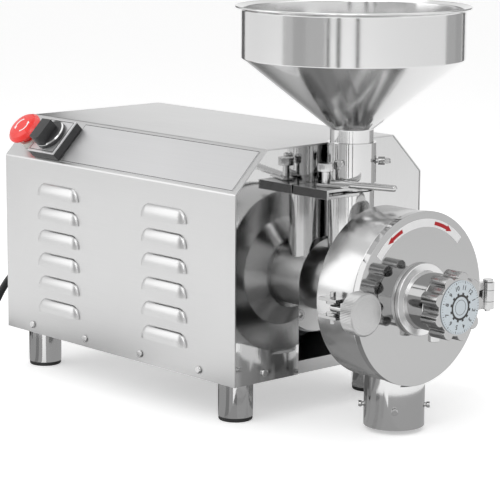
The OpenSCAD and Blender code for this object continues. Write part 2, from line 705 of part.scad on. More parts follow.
// The space that the shutter sweeps as it swings out to +X, right of a given x
module gate_space(x) {
    box([x, -gate_box_w + 3, gate_z - slot_t / 2], [feed_x + 80, 0, gate_z + slot_t / 2]);
    box([feed_x, -cut, gate_z - slot_t / 2], [feed_x + 80, feed_r + 2, gate_z + slot_t / 2]);
}
module gate_box() place() color(steel) difference() {
    box([gate_box_x, -gate_box_w, gate_z - gate_box_h / 2], [gate_box_x + gate_box_l, -9, gate_top]);
    rod_z(feed_x, 0, 0, socket_top, feed_r + fit / 2);
    gate_space(gate_box_x + 4);
    rod_z(feed_x, gate_y, gate_z - gate_box_h / 2 + 1.5, gate_box_h, gate_spindle_r + run_fit);
}
module gate_shutter() place() color(steel) translate([feed_x, 0, gate_z - shutter_t / 2]) linear_extrude(shutter_t) difference() {
    union() {
        circle(shutter_r);
        translate([-8, gate_y]) square([16, gate_arm]);
        translate([0, gate_y]) circle(9);
    }
    translate([0, gate_y]) circle(gate_spindle_r + 0.02);
}
module gate_lever() place() color(steel) translate([feed_x, gate_y, 0]) {
    rod_z(0, 0, gate_z - gate_box_h / 2 + 1.6, gate_box_h + spindle_rise, gate_spindle_r);
    rod_z(0, 0, gate_top + spindle_rise, 8.5, spindle_head_r);
    rotate([0, 0, lever_a]) {
        rod_z(0, 0, gate_top + 0.3, lever_plate_t, lever_plate_w / 2 + 2);
        box([0, -lever_plate_w / 2, gate_top + 0.3], [lever_plate_l, lever_plate_w / 2, gate_top + 0.3 + lever_plate_t]);
        rod_x(lever_plate_l - 3, lever_l, lever_r, 0, gate_top + 0.3 + lever_r);
    }
}
module hopper() place() color(steel) translate([feed_x, 0, 0]) rotate_extrude() polygon([
    [neck_out_r, socket_top - neck_in], [neck_out_r, cone_z], [hopper_r, band_z], [hopper_r, band_top],
    [rim_r, band_top + rim_rise], [rim_r, band_top + rim_rise + hopper_wall], [hopper_r - hopper_wall, band_top + hopper_wall],
    [hopper_r - hopper_wall, band_z + hopper_wall], [neck_out_r - hopper_wall, cone_z + hopper_wall], [neck_out_r - hopper_wall, socket_top - neck_in]]);
module wing_screw() place() color(steel) out_of_feed(wing_a, socket_screw_z) {
    translate([0, 0, neck_out_r + fit]) cylinder(h = socket_r + 3 - neck_out_r, r = screw_r);
    translate([0, 0, socket_r + 2]) cylinder(h = 7, r = 4.5);
    for (s = [-1, 1]) translate([-1.2, s * 8, socket_r + 9]) rotate([0, 90, 0]) cylinder(h = 2.4, r = 6);
}

module label_plate() place() color([0.82, 0.82, 0.83]) on_slope(switch_x - switch_w / 2 - 0.5, label_u)
    cube([switch_x - switch_w / 2 - 0.5 - label_front, slope_l - 2 * label_u, 0.5]);
module switch_base() place() color(black) on_slope(switch_x, switch_u) translate([-switch_w / 2, -switch_w / 2, 0])
    cube([switch_w, switch_w, switch_t]);
module switch_plate() place() color(steel) on_slope(switch_x, switch_u) translate([-switch_w / 2, -switch_w / 2, switch_t])
    cube([switch_w, switch_w, plate_thin]);
module switch_knob() place() color(black) on_slope(switch_x, switch_u) translate([0, 0, switch_t + plate_thin + knob_gap]) {
    cylinder(h = knob_skirt, r = knob_r);
    intersection() {
        translate([-8, -knob_r, 0]) cube([16, 2 * knob_r, knob_h]);
        cylinder(h = knob_h, r = knob_r);
    }
}
module stop_collar() place() color([0.75, 0.75, 0.72]) on_slope(stop_x, stop_u) difference() {
    cylinder(h = 8, r = 15);
    translate([0, 0, 1]) cylinder(h = 8, r = stop_stem_r + 0.3);
}
module stop_stem() place() color(red) on_slope(stop_x, stop_u) translate([0, 0, stop_stem_low])
    cylinder(h = stop_low - stop_stem_low - 0.1, r = stop_stem_r);
module stop_head() place() color(red) on_slope(stop_x, stop_u) rotate_extrude() polygon(stop_pts);

cord_r = cord_d / 2;
module cord_gland() place() color(black) translate([-body_l, -gland_y, gland_z]) {
    rotate([0, 90, 0]) translate([0, 0, -4]) cylinder(h = 12, r = gland_r);
    rotate([0, -90, 0]) translate([0, 0, 0]) cylinder(h = 8, r = gland_r + 3, $fn = 6);
    rotate([0, -90, 0]) translate([0, 0, 8]) cylinder(h = gland_l - 8, r1 = gland_r, r2 = cord_r + 1);
}
// The cord's route behind the housing: [x, height], all at the gland's own y
lead_route = [[-426, 55], [-444, 54], [-461, 48.5], [-476, 38], [-489, 25], [-501, 10], [-512, -6],
    [-523, -20.5], [-536, -32], [-552, -39.5], [-570, -42.5], [-585, -42.5]];
lead_y = -80;
// The coil that the rest of the cord is wound into, seen from above
coil_r = 58.5;
coil_pitch = cord_d + 0.5;
coil_in = 765;
coil_total = 1620;
coil_step = 15;
coil_mid = [-585, lead_y - coil_r, -42.5];
coil_run = 57;
function coil_at(a) = let (
    r = coil_r - coil_pitch * (a < coil_in ? a : 2 * coil_in - a) / 360,
    t = max(0, min(1, (a - coil_in + 90) / 180)),
    turn = 90 + a
) coil_mid + [r * cos(turn), r * sin(turn), coil_pitch * (1 - cos(180 * t)) / 2];
coil_turns = [for (a = [0 : coil_step : coil_total]) coil_at(a)];
coil_end = coil_turns[len(coil_turns) - 1];
coil_path = concat(coil_turns, [coil_end + [20, 0, 0], coil_end + [40, 0, 0], coil_end + [coil_run, 0, 0]]);
lead_path = [for (p = lead_route) [p[0], lead_y, p[1]]];
function unit(v) = v / norm(v);
function way(path, i) = i == 0 ? [-1, 0, 0] : unit(path[min(i + 1, len(path) - 1)] - path[i - 1]);
function ring_at(path, i, r, n) = let (
    side = unit(cross(way(path, i), [0, 0, 1])),
    up = cross(side, way(path, i))
) [for (k = [0 : n - 1]) path[i] + r * (cos(360 * k / n) * side + sin(360 * k / n) * up)];
module tube(path, r, n) polyhedron(
    points = [for (i = [0 : len(path) - 1], p = ring_at(path, i, r, n)) p],
    faces = concat(
        [for (i = [0 : len(path) - 2], k = [0 : n - 1]) let (a = i * n + k, b = i * n + (k + 1) % n) [a, a + n, b]],
        [for (i = [0 : len(path) - 2], k = [0 : n - 1]) let (a = i * n + k, b = i * n + (k + 1) % n) [b, a + n, b + n]],
        [for (k = [1 : n - 2]) [0, k, k + 1]],
        [for (k = [1 : n - 2]) let (e = (len(path) - 1) * n) [e, e + k + 1, e + k]]));
echo(least_gap_of_the_coil_to_itself = min([for (i = [0 : len(coil_turns) - 1], j = [i + 8 : 1 : len(coil_turns) - 1])
    norm(coil_turns[i] - coil_turns[j])]) - cord_d);
module cord_lead() place() color(black) tube(lead_path, cord_r, 8);
module cord_coil() place() color(black) tube(coil_path, cord_r, 6);
plug_r = 13.5;
module plug() place() color(black) translate(coil_end + [coil_run, 0, 0]) rotate([0, 90, 0]) {
    cylinder(h = 14, r1 = 7, r2 = plug_r - 2);
    translate([0, 0, 14]) cylinder(h = 24, r = plug_r);
    for (y = [-9.5, 9.5]) translate([0, y, 38]) cylinder(h = 19, r = 2.4);
}

base_pan();
housing_shell();
front_panel();
rear_panel();
housing_screws();
legs();
foot_pads();
motor_frame();
stator();
front_bell();
rear_bell();
front_bearing();
rear_bearing();
rotor();
cooling_fan();
fan_cowl();
capacitor();
feed_auger();
neck();
neck_bolts();
drum();
outlet();
small_screws();
rotor_plate();
rotor_disc();
shaft_nut();
fixed_disc();
fixed_plate();
gasket();
cover();
adjuster_tube();
adjuster_spindle();
star_knob();
dial();
lock_screw();
arrow_band();
clamp_fork();
clamp_screw();
clamp_knob();
drum_hinge();
cover_hinge();
hinge_pin();
feed_tube();
gate_box();
gate_shutter();
gate_lever();
hopper();
wing_screw();
label_plate();
switch_base();
switch_plate();
switch_knob();
stop_collar();
stop_stem();
stop_head();
cord_gland();
cord_lead();
cord_coil();
plug();
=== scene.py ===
# %% [markdown]
# # An electric powder grinder in polished and brushed stainless steel
# A motor stands in a sheet-metal housing on four legs. In front of it hang a round milling drum with
# a hinged cover, a funnel hopper on a feed pipe with a swing gate, and a spout for the powder. The
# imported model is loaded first: it gives every size and place, so nothing is fitted by eye.

# %% Load the frame
import math

import bpy
from mathutils import Matrix, Vector


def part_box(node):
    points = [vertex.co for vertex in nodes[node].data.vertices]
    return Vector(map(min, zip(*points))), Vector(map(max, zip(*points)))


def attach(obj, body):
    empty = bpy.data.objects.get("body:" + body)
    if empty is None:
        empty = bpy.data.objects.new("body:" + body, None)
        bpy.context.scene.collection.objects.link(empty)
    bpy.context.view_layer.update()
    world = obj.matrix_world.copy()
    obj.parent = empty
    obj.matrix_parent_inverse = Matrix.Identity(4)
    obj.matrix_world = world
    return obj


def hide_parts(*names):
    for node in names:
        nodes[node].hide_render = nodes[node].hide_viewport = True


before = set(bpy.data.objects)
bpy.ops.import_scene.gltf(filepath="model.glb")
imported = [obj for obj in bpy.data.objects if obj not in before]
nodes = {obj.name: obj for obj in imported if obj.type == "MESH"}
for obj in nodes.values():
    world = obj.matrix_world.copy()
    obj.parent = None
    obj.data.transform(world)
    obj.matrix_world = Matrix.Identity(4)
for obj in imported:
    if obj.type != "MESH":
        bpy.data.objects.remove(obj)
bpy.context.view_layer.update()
MM = 0.001
print("nodes:", len(nodes))

# %% [markdown]
# ## The machine's own measures
# On a drawing of the machine, distances are counted from the housing's front edge, its underside
# and the grinding axis. The helper turns such a place, in millimetres, into the frame's metres. The
# axis itself lies AXIS_UP above the underside.

# %% Places on the machine
shell_low, shell_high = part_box("housing_shell")
drum_low, drum_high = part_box("drum")
FRONT = shell_high.x
UNDER = shell_low.z
MIDDLE = (drum_low.y + drum_high.y) / 2
AXIS_Z = (drum_low.z + drum_high.z) / 2
AXIS_UP = 97


def at(x, y, z):
    """A place in mm: x from the front edge, y from the grinding axis, z from the underside."""
    return Vector((FRONT + x * MM, MIDDLE + y * MM, UNDER + z * MM))


print("front", FRONT, "underside", UNDER, "axis", AXIS_Z)

# %% [markdown]
# ## The camera
# The photograph was taken from the front left, a little above the housing, with a long lens. The
# frame is wider than it is high, so the sensor is fitted to the width and the lens follows from it.

# %% Camera
CAMERA_AT = at(1607.5, -1571.4, 545.5)
YAW = math.radians(47.86)
PITCH = math.radians(10.39)
ROLL = math.radians(0.27)
FRAME_WIDTH = 500
FOCAL_PIXELS = 2132.1
SENSOR = 36.0


def camera_axes(yaw, pitch, roll):
    forward = Vector((-math.sin(yaw) * math.cos(pitch), math.cos(yaw) * math.cos(pitch), -math.sin(pitch)))
    level = Vector((math.cos(yaw), math.sin(yaw), 0.0))
    upright = level.cross(forward)
    right = math.cos(roll) * level + math.sin(roll) * upright
    up = math.cos(roll) * upright - math.sin(roll) * level
    return right, up, forward


def show(thing):
    """A new object is seen only once it is linked to the scene's collection."""
    bpy.context.scene.collection.objects.link(thing)


right, up, forward = camera_axes(YAW, PITCH, ROLL)
camera_data = bpy.data.cameras.new("camera")
camera_data.sensor_fit = "HORIZONTAL"
camera_data.sensor_width = SENSOR
camera_data.lens = FOCAL_PIXELS / FRAME_WIDTH * SENSOR
camera_data.clip_end = 50
camera = bpy.data.objects.new("camera", camera_data)
show(camera)
turn = Matrix((right, up, -forward)).transposed().to_4x4()
camera.matrix_world = Matrix.Translation(CAMERA_AT) @ turn
bpy.context.scene.camera = camera
print("lens", round(camera_data.lens, 1), "mm")

# %% [markdown]
# ## Shader maths in plain Python
# A finish is written as a formula. A small class wraps a socket, so that `1 - mask` or `grain * 0.2`
# adds the Math nodes by itself. One method adds any other node. The nodes could be laid out by hand
# in the editor as well, but a formula is shorter to read and easy to change.

# %% Signals and finishes
class Signal:
    def __init__(self, finish, socket):
        self.finish = finish
        self.socket = socket

    def maths(self, operation, *values):
        return self.finish.add("ShaderNodeMath", {"operation": operation}, values)

    def __add__(self, other):
        return self.maths("ADD", self, other)

    def __sub__(self, other):
        return self.maths("SUBTRACT", self, other)

    def __rsub__(self, other):
        return self.maths("SUBTRACT", other, self)

    def __mul__(self, other):
        return self.maths("MULTIPLY", self, other)

    def __truediv__(self, other):
        return self.maths("DIVIDE", self, other)

    __radd__ = __add__
    __rmul__ = __mul__


class Finish:
    def __init__(self, name, colour, metallic, roughness, coat=0.0):
        self.material = bpy.data.materials.new(name)
        self.material.use_nodes = True
        self.tree = self.material.node_tree
        self.shader = self.tree.nodes["Principled BSDF"]
        self.set("Base Color", (*colour, 1.0))
        self.set("Metallic", metallic)
        self.set("Roughness", roughness)
        self.set("Coat Weight", coat)

    def add(self, kind, settings, values, output=0):
        node = self.tree.nodes.new(kind)
        for key, setting in settings.items():
            setattr(node, key, setting)
        pairs = values.items() if isinstance(values, dict) else enumerate(values)
        for key, value in pairs:
            self.connect(node.inputs[key], value)
        return Signal(self, node.outputs[output])

    def connect(self, socket, value):
        if isinstance(value, Signal):
            self.tree.links.new(value.socket, socket)
        else:
            socket.default_value = value

    def set(self, name, value):
        self.connect(self.shader.inputs[name], value)

    def place(self, scale=(1, 1, 1), origin=(0, 0, 0)):
        spot = self.add("ShaderNodeTexCoord", {}, {}, "Object")
        moved = self.add("ShaderNodeVectorMath", {"operation": "SUBTRACT"}, (spot, origin))
        return self.add("ShaderNodeVectorMath", {"operation": "MULTIPLY"}, (moved, scale))

    def parts(self, vector):
        node = self.tree.nodes.new("ShaderNodeSeparateXYZ")
        self.tree.links.new(vector.socket, node.inputs[0])
        return [Signal(self, socket) for socket in node.outputs]

    def noise(self, vector, scale, detail=3.0):
        return self.add("ShaderNodeTexNoise", {}, {"Vector": vector, "Scale": scale, "Detail": detail})

    def bump(self, height, distance, strength=1.0):
        values = {"Height": height, "Distance": distance, "Strength": strength}
        self.set("Normal", self.add("ShaderNodeBump", {}, values))

    def mix(self, factor, first, second):
        values = {0: factor, 6: first, 7: second}
        return self.add("ShaderNodeMix", {"data_type": "RGBA"}, values, 2)

    def limit(self, value):
        return self.add("ShaderNodeClamp", {}, (value, 0.02, 1.0))


print("shader helpers ready")

# %% [markdown]
# ## Stainless steel
# The same metal wears three finishes. Rolled sheet is brushed: thousands of fine scratches lie along
# the sheet, so its gloss is soft across them. Turned and buffed parts are nearly mirrors, with only
# faint waves and the odd smear. The clamp knob's face is fresh from the lathe, with fine rings round
# its middle. All are made from noise that moves the roughness and a very shallow bump, because it
# has no seams and stays sharp close up, which an image would not.

# %% Brushed and polished steel
STEEL = 0.57
CLAMP_Y = -98


def grey(tone):
    return (tone, tone, tone)


def shaded(colour, share=1.0):
    return (*[part * share for part in colour], 1.0)


def brushed_steel(name, stretch, colour=grey(STEEL), roughness=0.30, grain=0.10):
    finish = Finish(name, colour, 1.0, roughness)
    lines = finish.noise(finish.place(scale=stretch), 1.0, 4.0)
    smears = finish.noise(finish.place(), 9.0)
    finish.set("Roughness", finish.limit(lines * grain + smears * 0.10 + (roughness - 0.09)))
    finish.set("Base Color", finish.mix(lines * 0.5, shaded(colour), shaded(colour, 0.86)))
    finish.bump(lines, 0.00004, 0.35)
    return finish.material


def polished_steel(name, tone, roughness=0.07):
    finish = Finish(name, grey(tone), 1.0, roughness)
    waves = finish.noise(finish.place(), 14.0, 1.0)
    smears = finish.noise(finish.place(scale=(1, 1, 2.5)), 38.0, 4.0)
    finish.set("Roughness", finish.limit(smears * 0.07 + (roughness - 0.03)))
    finish.bump(waves, 0.0006, 0.25)
    return finish.material


def turned_steel(name, centre, tone, roughness=0.30, pitch=0.0007):
    """Rings of one lathe cut each, `pitch` metres wide, round an axis along X."""
    finish = Finish(name, grey(tone), 1.0, roughness)
    x, y, z = finish.parts(finish.place(origin=centre))
    squares = y * y + z * z
    radius = squares.maths("SQRT", squares)
    cuts = {"W": radius / pitch, "Scale": 1.0}
    rings = finish.add("ShaderNodeTexNoise", {"noise_dimensions": "1D"}, cuts)
    finish.set("Roughness", finish.limit(rings * 0.18 + (roughness - 0.09)))
    finish.bump(rings, 0.00006, 0.4)
    return finish.material


sheet_steel = brushed_steel("brushed_sheet", (12, 2400, 2400), roughness=0.30)
end_steel = brushed_steel("buffed_panel", (900, 900, 30), grey(0.64), roughness=0.06, grain=0.03)
mirror_steel = polished_steel("mirror_steel", 0.54)
soft_steel = polished_steel("satin_steel", 0.56, roughness=0.16)
pipe_steel = polished_steel("pipe_steel", 0.66)
neck_steel = polished_steel("neck_steel", 0.50, roughness=0.32)
drum_steel = polished_steel("drum_steel", 0.56, roughness=0.20)
# a darker copy of the polished steel for the star knob, the clamp parts and the wing screw: its low tone is
# painted shade
painted_shade_grey_steel = polished_steel("painted_shade_grey_steel", 0.42, roughness=0.14)
ring_steel = polished_steel("ring_steel", 0.74, roughness=0.30)
# a near-black copy of the polished steel for one side of the gate box: painted shade
painted_shade_black_steel = polished_steel("painted_shade_black_steel", 0.09, roughness=0.25)
hopper_steel = polished_steel("hopper_steel", 0.66, roughness=0.13)
cover_steel = polished_steel("cover_steel", 0.42, roughness=0.05)
knob_face = turned_steel("turned_knob_face", at(150, CLAMP_Y, AXIS_UP), 0.46)
print("steel finishes ready")

# %% [markdown]
# ## Castings, plastic and rubber
# The motor inside is cast aluminium, the discs are ground iron, and the controls are moulded
# plastic. Each has the grain that its making leaves: a coarse pebble on castings, a fine one on
# mouldings, and a dull skin on rubber. Printed marks are a thin coat of paint, so they use the
# moulded finish with almost no depth.

# %% Other finishes
def moulded(name, colour, roughness, grain_size, depth, coat=0.0):
    finish = Finish(name, colour, 0.0, roughness, coat)
    grain = finish.noise(finish.place(), grain_size, 2.0)
    wear = finish.noise(finish.place(), 22.0)
    finish.set("Roughness", finish.limit(wear * 0.16 + (roughness - 0.08)))
    lighter = [min(1.0, part * 1.25 + 0.01) for part in colour]
    finish.set("Base Color", finish.mix(grain * 0.6, shaded(colour), shaded(lighter)))
    finish.bump(grain, depth, 0.6)
    return finish.material


def cast_metal(name, colour, roughness):
    finish = Finish(name, colour, 1.0, roughness)
    pebble = finish.noise(finish.place(), 700.0, 3.0)
    stains = finish.noise(finish.place(), 16.0)
    finish.set("Roughness", finish.limit(stains * 0.2 + (roughness - 0.1)))
    finish.set("Base Color", finish.mix(pebble * 0.7, shaded(colour), shaded(colour, 0.7)))
    finish.bump(pebble, 0.0002, 0.6)
    return finish.material


black_plastic = moulded("black_plastic", (0.022, 0.022, 0.023), 0.42, 1800.0, 0.00006)
black_rubber = moulded("black_rubber", (0.018, 0.018, 0.018), 0.62, 1300.0, 0.00010)
red_plastic = moulded("red_plastic", (0.80, 0.020, 0.014), 0.28, 600.0, 0.00002, 0.3)
grey_plastic = moulded("grey_plastic", (0.62, 0.62, 0.58), 0.40, 1200.0, 0.00003)
cast_aluminium = cast_metal("cast_aluminium", (0.40, 0.41, 0.42), 0.50)
ground_iron = cast_metal("ground_iron", (0.26, 0.26, 0.27), 0.38)
winding_copper = cast_metal("winding_copper", (0.55, 0.26, 0.14), 0.40)
plate_metal = brushed_steel("label_metal", (6, 1600, 1600), (0.62, 0.62, 0.625), roughness=0.42)
dial_blue = moulded("dial_blue", (0.60, 0.66, 0.70), 0.30, 900.0, 0.00001, 0.3)
mark_black = moulded("mark_black", (0.02, 0.02, 0.02), 0.45, 900.0, 0.00001)
white_enamel = moulded("white_enamel", (0.93, 0.93, 0.93), 0.35, 900.0, 0.00001)
arrow_red = moulded("arrow_red", (0.44, 0.001, 0.006), 0.60, 900.0, 0.00001)
print("moulded and cast finishes ready")

# %% [markdown]
# ## The solids that stay as they are
# Flat panels and the parts inside the housing already have the right shape, so they only get their
# finish. They could be made anew, but a shape that is right is best left alone.

# %% Dress the solids
PLAIN = {
    sheet_steel: ["housing_shell", "base_pan", "rear_panel", "fan_cowl", "feed_auger"],
    end_steel: ["front_panel"],
    soft_steel: ["shaft_nut", "adjuster_spindle", "rotor_plate", "front_bearing", "rear_bearing", "rotor"],
    cast_aluminium: ["motor_frame", "front_bell", "rear_bell", "capacitor", "fixed_plate"],
    ground_iron: ["rotor_disc", "fixed_disc"],
    winding_copper: ["stator"],
    black_plastic: ["cooling_fan"],
    red_plastic: ["stop_stem"],
}
for material, names in PLAIN.items():
    for name in names:
        nodes[name].data.materials.clear()
        nodes[name].data.materials.append(material)
print("dressed", sum(len(names) for names in PLAIN.values()), "solids")

# %% [markdown]
# ## The power cord
# A rubber cord, 9 mm thick and about 1.6 m long, leaves a gland in the rear panel, drops to the
# table and is wound into a flat coil of two layers, held by a strap. One smooth curve follows the
# chosen points and then the coil's formula. A mesh tube would do as well, but a curve keeps its
# length easy to measure. The strap is a ring pulled flat and wide.

# %% Cord
CORD_D = 9.0
LEAD_Y = -80.0
LEAD = [(-426, 55), (-444, 54), (-461, 48.5), (-476, 38), (-489, 25), (-501, 10), (-512, -6),
        (-523, -20.5), (-536, -32), (-552, -39.5), (-570, -42.5)]
COIL_R = 58.5
COIL_PITCH = CORD_D + 0.5
COIL_IN = 765
COIL_TOTAL = 1620
COIL_STEP = 15
COIL_RUN = 57
coil_middle = (-585.0, LEAD_Y - COIL_R, -42.5)


def coil_at(angle):
    inwards = angle if angle < COIL_IN else 2 * COIL_IN - angle
    radius = COIL_R - COIL_PITCH * inwards / 360
    climb = max(0.0, min(1.0, (angle - COIL_IN + 90) / 180))
    turn_to = math.radians(90 + angle)
    x, y, z = coil_middle
    rise = COIL_PITCH * (1 - math.cos(math.pi * climb)) / 2
    return at(x + radius * math.cos(turn_to), y + radius * math.sin(turn_to), z + rise)


route = [at(x, LEAD_Y, z) for x, z in LEAD] + [coil_at(a) for a in range(0, COIL_TOTAL + 1, COIL_STEP)]
coil_end = route[-1]
route += [coil_end + Vector((run * MM, 0, 0)) for run in (20, 40, COIL_RUN)]

cord_curve = bpy.data.curves.new("power_cord", "CURVE")
cord_curve.dimensions = "3D"
cord_curve.bevel_depth = CORD_D / 2 * MM
cord_curve.bevel_resolution = 4
cord_curve.resolution_u = 4
cord_curve.use_fill_caps = True
spline = cord_curve.splines.new("BEZIER")
spline.bezier_points.add(len(route) - 1)
for knot, point in zip(spline.bezier_points, route):
    knot.co = point
    knot.handle_left_type = "AUTO"
    knot.handle_right_type = "AUTO"
power_cord = bpy.data.objects.new("power_cord", cord_curve)
show(power_cord)
cord_curve.materials.append(black_rubber)
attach(power_cord, "frame")
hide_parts("cord_lead", "cord_coil")

# %% The cord's strap
STRAP_AWAY = 48.5
STRAP_R = 15.5
STRAP_T = 0.5
STRAP_SHAPE = (1.2, 0.61, 9.0)
bpy.ops.object.select_all(action="DESELECT")
strap_at = at(coil_middle[0] - STRAP_AWAY, coil_middle[1], coil_middle[2] + COIL_PITCH / 2 + 0.7)
upright = (math.radians(90), 0, 0)
bpy.ops.mesh.primitive_torus_add(major_segments=48, minor_segments=10, major_radius=STRAP_R * MM,
                                 minor_radius=STRAP_T * MM, location=strap_at, rotation=upright)
strap = bpy.context.object
strap.name = "cord_strap"
strap.scale = STRAP_SHAPE
bpy.ops.object.transform_apply(location=True, rotation=True, scale=True)
bpy.ops.object.shade_smooth()
strap.data.materials.append(black_plastic)
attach(strap, "frame")
print("strap at", tuple(round(v, 3) for v in strap_at))

# %% [markdown]
# ## Helpers for modelling by hand
# Turned parts are swept from a profile, as on a lathe, and blocks are bevelled cubes. The Spin tool
# makes the same shape as the Screw modifier, but lays its faces down in another order on each run, so
# the modifier is used. Each helper then writes the place into the mesh, so that every piece has its
# origin at zero and its finish doesn't slide when the machine moves. The calls that come back in
# every piece, such as going into edit mode and selecting all, have short names of their own.

# %% Modelling helpers
TO_X = Matrix.Rotation(math.pi / 2, 4, "Y")


def alone():
    bpy.ops.object.select_all(action="DESELECT")


def edit_mode():
    bpy.ops.object.mode_set(mode="EDIT")


def object_mode():
    bpy.ops.object.mode_set(mode="OBJECT")


def take_all():
    bpy.ops.mesh.select_all(action="SELECT")


def write_place():
    bpy.ops.object.transform_apply(location=True, rotation=True, scale=True)


def smooth_below(degrees):
    bpy.ops.object.shade_smooth_by_angle(angle=math.radians(degrees))


def settle(piece, name, place):
    piece.name = name
    piece.matrix_world = place @ piece.matrix_world
    write_place()
    return piece


def apply_all(piece):
    bpy.context.view_layer.objects.active = piece
    for modifier in list(piece.modifiers):
        bpy.ops.object.modifier_apply(modifier=modifier.name)


def turned(name, profile, place, steps=96, smooth=35):
    """A turned part: profile is a closed chain of (radius, height) in mm about its own axis."""
    alone()
    radius, height = profile[0]
    bpy.ops.mesh.primitive_plane_add(size=MM, location=(radius * MM, 0, height * MM))
    piece = bpy.context.object
    edit_mode()
    bpy.ops.mesh.select_mode(type="VERT")
    bpy.ops.mesh.merge(type="CENTER")
    chain = list(profile) + ([profile[0]] if profile[0][0] or profile[-1][0] else [])
    for (r0, z0), (r1, z1) in zip(chain, chain[1:]):
        step = ((r1 - r0) * MM, 0, (z1 - z0) * MM)
        bpy.ops.mesh.extrude_region_move(TRANSFORM_OT_translate={"value": step})
    object_mode()
    bpy.ops.object.transform_apply(location=True)
    lathe = piece.modifiers.new("lathe", "SCREW")
    lathe.steps = steps
    lathe.render_steps = steps
    apply_all(piece)
    edit_mode()
    take_all()
    bpy.ops.mesh.remove_doubles(threshold=0.00001)
    bpy.ops.mesh.normals_make_consistent(inside=False)
    object_mode()
    smooth_below(smooth)
    return settle(piece, name, place)


def round_over(name, low, high, width, segments=3):
    """A block between two corners in metres, with its edges rounded over."""
    alone()
    bpy.ops.mesh.primitive_cube_add(size=1, location=(low + high) / 2, scale=high - low)
    piece = bpy.context.object
    piece.name = name
    write_place()
    bevel = piece.modifiers.new("edge", "BEVEL")
    bevel.width = width * MM
    bevel.segments = segments
    apply_all(piece)
    smooth_below(35)
    return piece


def combine(piece, other, operation):
    """Join or cut one piece with another, and remove the other."""
    step = piece.modifiers.new(operation, "BOOLEAN")
    step.operation = operation
    step.solver = "EXACT"
    step.object = other
    apply_all(piece)
    bpy.data.objects.remove(other)
    return piece


def fit_out(piece, body, material, slot, *replaced):
    piece.data.materials.clear()
    piece.data.materials.append(material)
    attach(piece, body)
    if replaced:
        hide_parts(*replaced)
    return piece


print("modelling helpers ready")

# %% [markdown]
# ## Bent chains and softened solids
# A sheet part is drawn as a chain of straight runs whose corners are bent to a radius. A small part
# that is already right as a solid is copied instead: its loose triangles are merged, its flat faces
# made whole and its sharp edges rounded by a bevel, as a file or a polishing wheel leaves them.

# %% Chains, picking and softening
def bent(chain, radius, steps=4):
    points = [tuple(chain[0])]
    for before, corner, after in zip(chain, chain[1:], chain[2:]):
        corner = Vector(corner)
        back = (Vector(before) - corner).normalized()
        ahead = (Vector(after) - corner).normalized()
        half = back.angle(ahead) / 2
        reach = radius / math.tan(half)
        centre = corner + (back + ahead).normalized() * radius / math.sin(half)
        for step in range(steps + 1):
            spoke = (corner + back * reach).lerp(corner + ahead * reach, step / steps) - centre
            points.append(tuple(centre + spoke.normalized() * radius))
    return points + [tuple(chain[-1])]


def pick(piece, test):
    """Select the corners of a piece in edit mode by their place, in metres."""
    bpy.ops.mesh.select_mode(type="VERT")
    bpy.ops.mesh.select_all(action="DESELECT")
    object_mode()
    for vertex in piece.data.vertices:
        vertex.select = test(vertex.co)
    edit_mode()


def pick_faces(piece, test):
    bpy.ops.mesh.select_mode(type="FACE")
    bpy.ops.mesh.select_all(action="DESELECT")
    object_mode()
    for face in piece.data.polygons:
        face.select = test(face)
    edit_mode()


def soften(piece, width, segments=3, angle=35):
    if width:
        bevel = piece.modifiers.new("edge", "BEVEL")
        bevel.width = width * MM
        bevel.segments = segments
        bevel.limit_method = "ANGLE"
        bevel.angle_limit = math.radians(angle)
        apply_all(piece)
    smooth_below(angle)
    even = piece.modifiers.new("flat faces stay flat", "WEIGHTED_NORMAL")
    even.keep_sharp = True
    apply_all(piece)
    return piece


def softened(name, node, width, segments=3):
    alone()
    piece = bpy.data.objects.new(name, nodes[node].data.copy())
    show(piece)
    bpy.context.view_layer.objects.active = piece
    piece.select_set(True)
    edit_mode()
    take_all()
    bpy.ops.mesh.remove_doubles(threshold=0.000002)
    bpy.ops.mesh.dissolve_limited(angle_limit=math.radians(0.5))
    object_mode()
    return soften(piece, width, segments)


def extruded_chain(chain, start, length):
    """A chain of (across, up) runs in mm, drawn in the Y-Z plane at `start` and pulled along X."""
    alone()
    first = start + Vector((0, chain[0][0] * MM, chain[0][1] * MM))
    bpy.ops.mesh.primitive_plane_add(size=MM, location=first)
    sheet = bpy.context.object
    edit_mode()
    bpy.ops.mesh.select_mode(type="VERT")
    bpy.ops.mesh.merge(type="CENTER")
    for (y0, z0), (y1, z1) in zip(chain, chain[1:]):
        run = (0, (y1 - y0) * MM, (z1 - z0) * MM)
        bpy.ops.mesh.extrude_region_move(TRANSFORM_OT_translate={"value": run})
    object_mode()
    write_place()
    pull = sheet.modifiers.new("pull", "SCREW")
    pull.axis = "X"
    pull.angle = 0
    pull.screw_offset = length * MM
    pull.steps = 1
    pull.render_steps = 1
    apply_all(sheet)
    return sheet


print("chains and softening ready")

# %% [markdown]
# ## The housing
# One sheet of 1.5 mm steel is bent four times into a tunnel with two sloping shoulders. It is drawn as
# a chain, pulled along the machine and given its thickness by Solidify. A bevelled block would look
# alike from afar, but it has no wall, so the louvres could not open into it.

# %% Housing sheet
BODY_L = 400
BODY_W = 275
WALL_H = 203
SLOPE_W = 44
SLOPE_H = 43.5
SHEET = 1.5
BEND = 3.5
half_w = BODY_W / 2
outline = [(-half_w, 0), (-half_w, WALL_H), (-half_w + SLOPE_W, WALL_H + SLOPE_H),
           (half_w - SLOPE_W, WALL_H + SLOPE_H), (half_w, WALL_H), (half_w, 0)]
housing = extruded_chain(bent(outline, BEND), at(-BODY_L, 0, 0), BODY_L)
housing.name = "housing"
roof = max(housing.data.polygons, key=lambda face: face.center.z)
if roof.normal.z < 0:
    edit_mode()
    take_all()
    bpy.ops.mesh.flip_normals()
    object_mode()
shell = housing.modifiers.new("sheet", "SOLIDIFY")
shell.thickness = SHEET * MM
shell.offset = -1
apply_all(housing)
print("housing faces", len(housing.data.polygons))

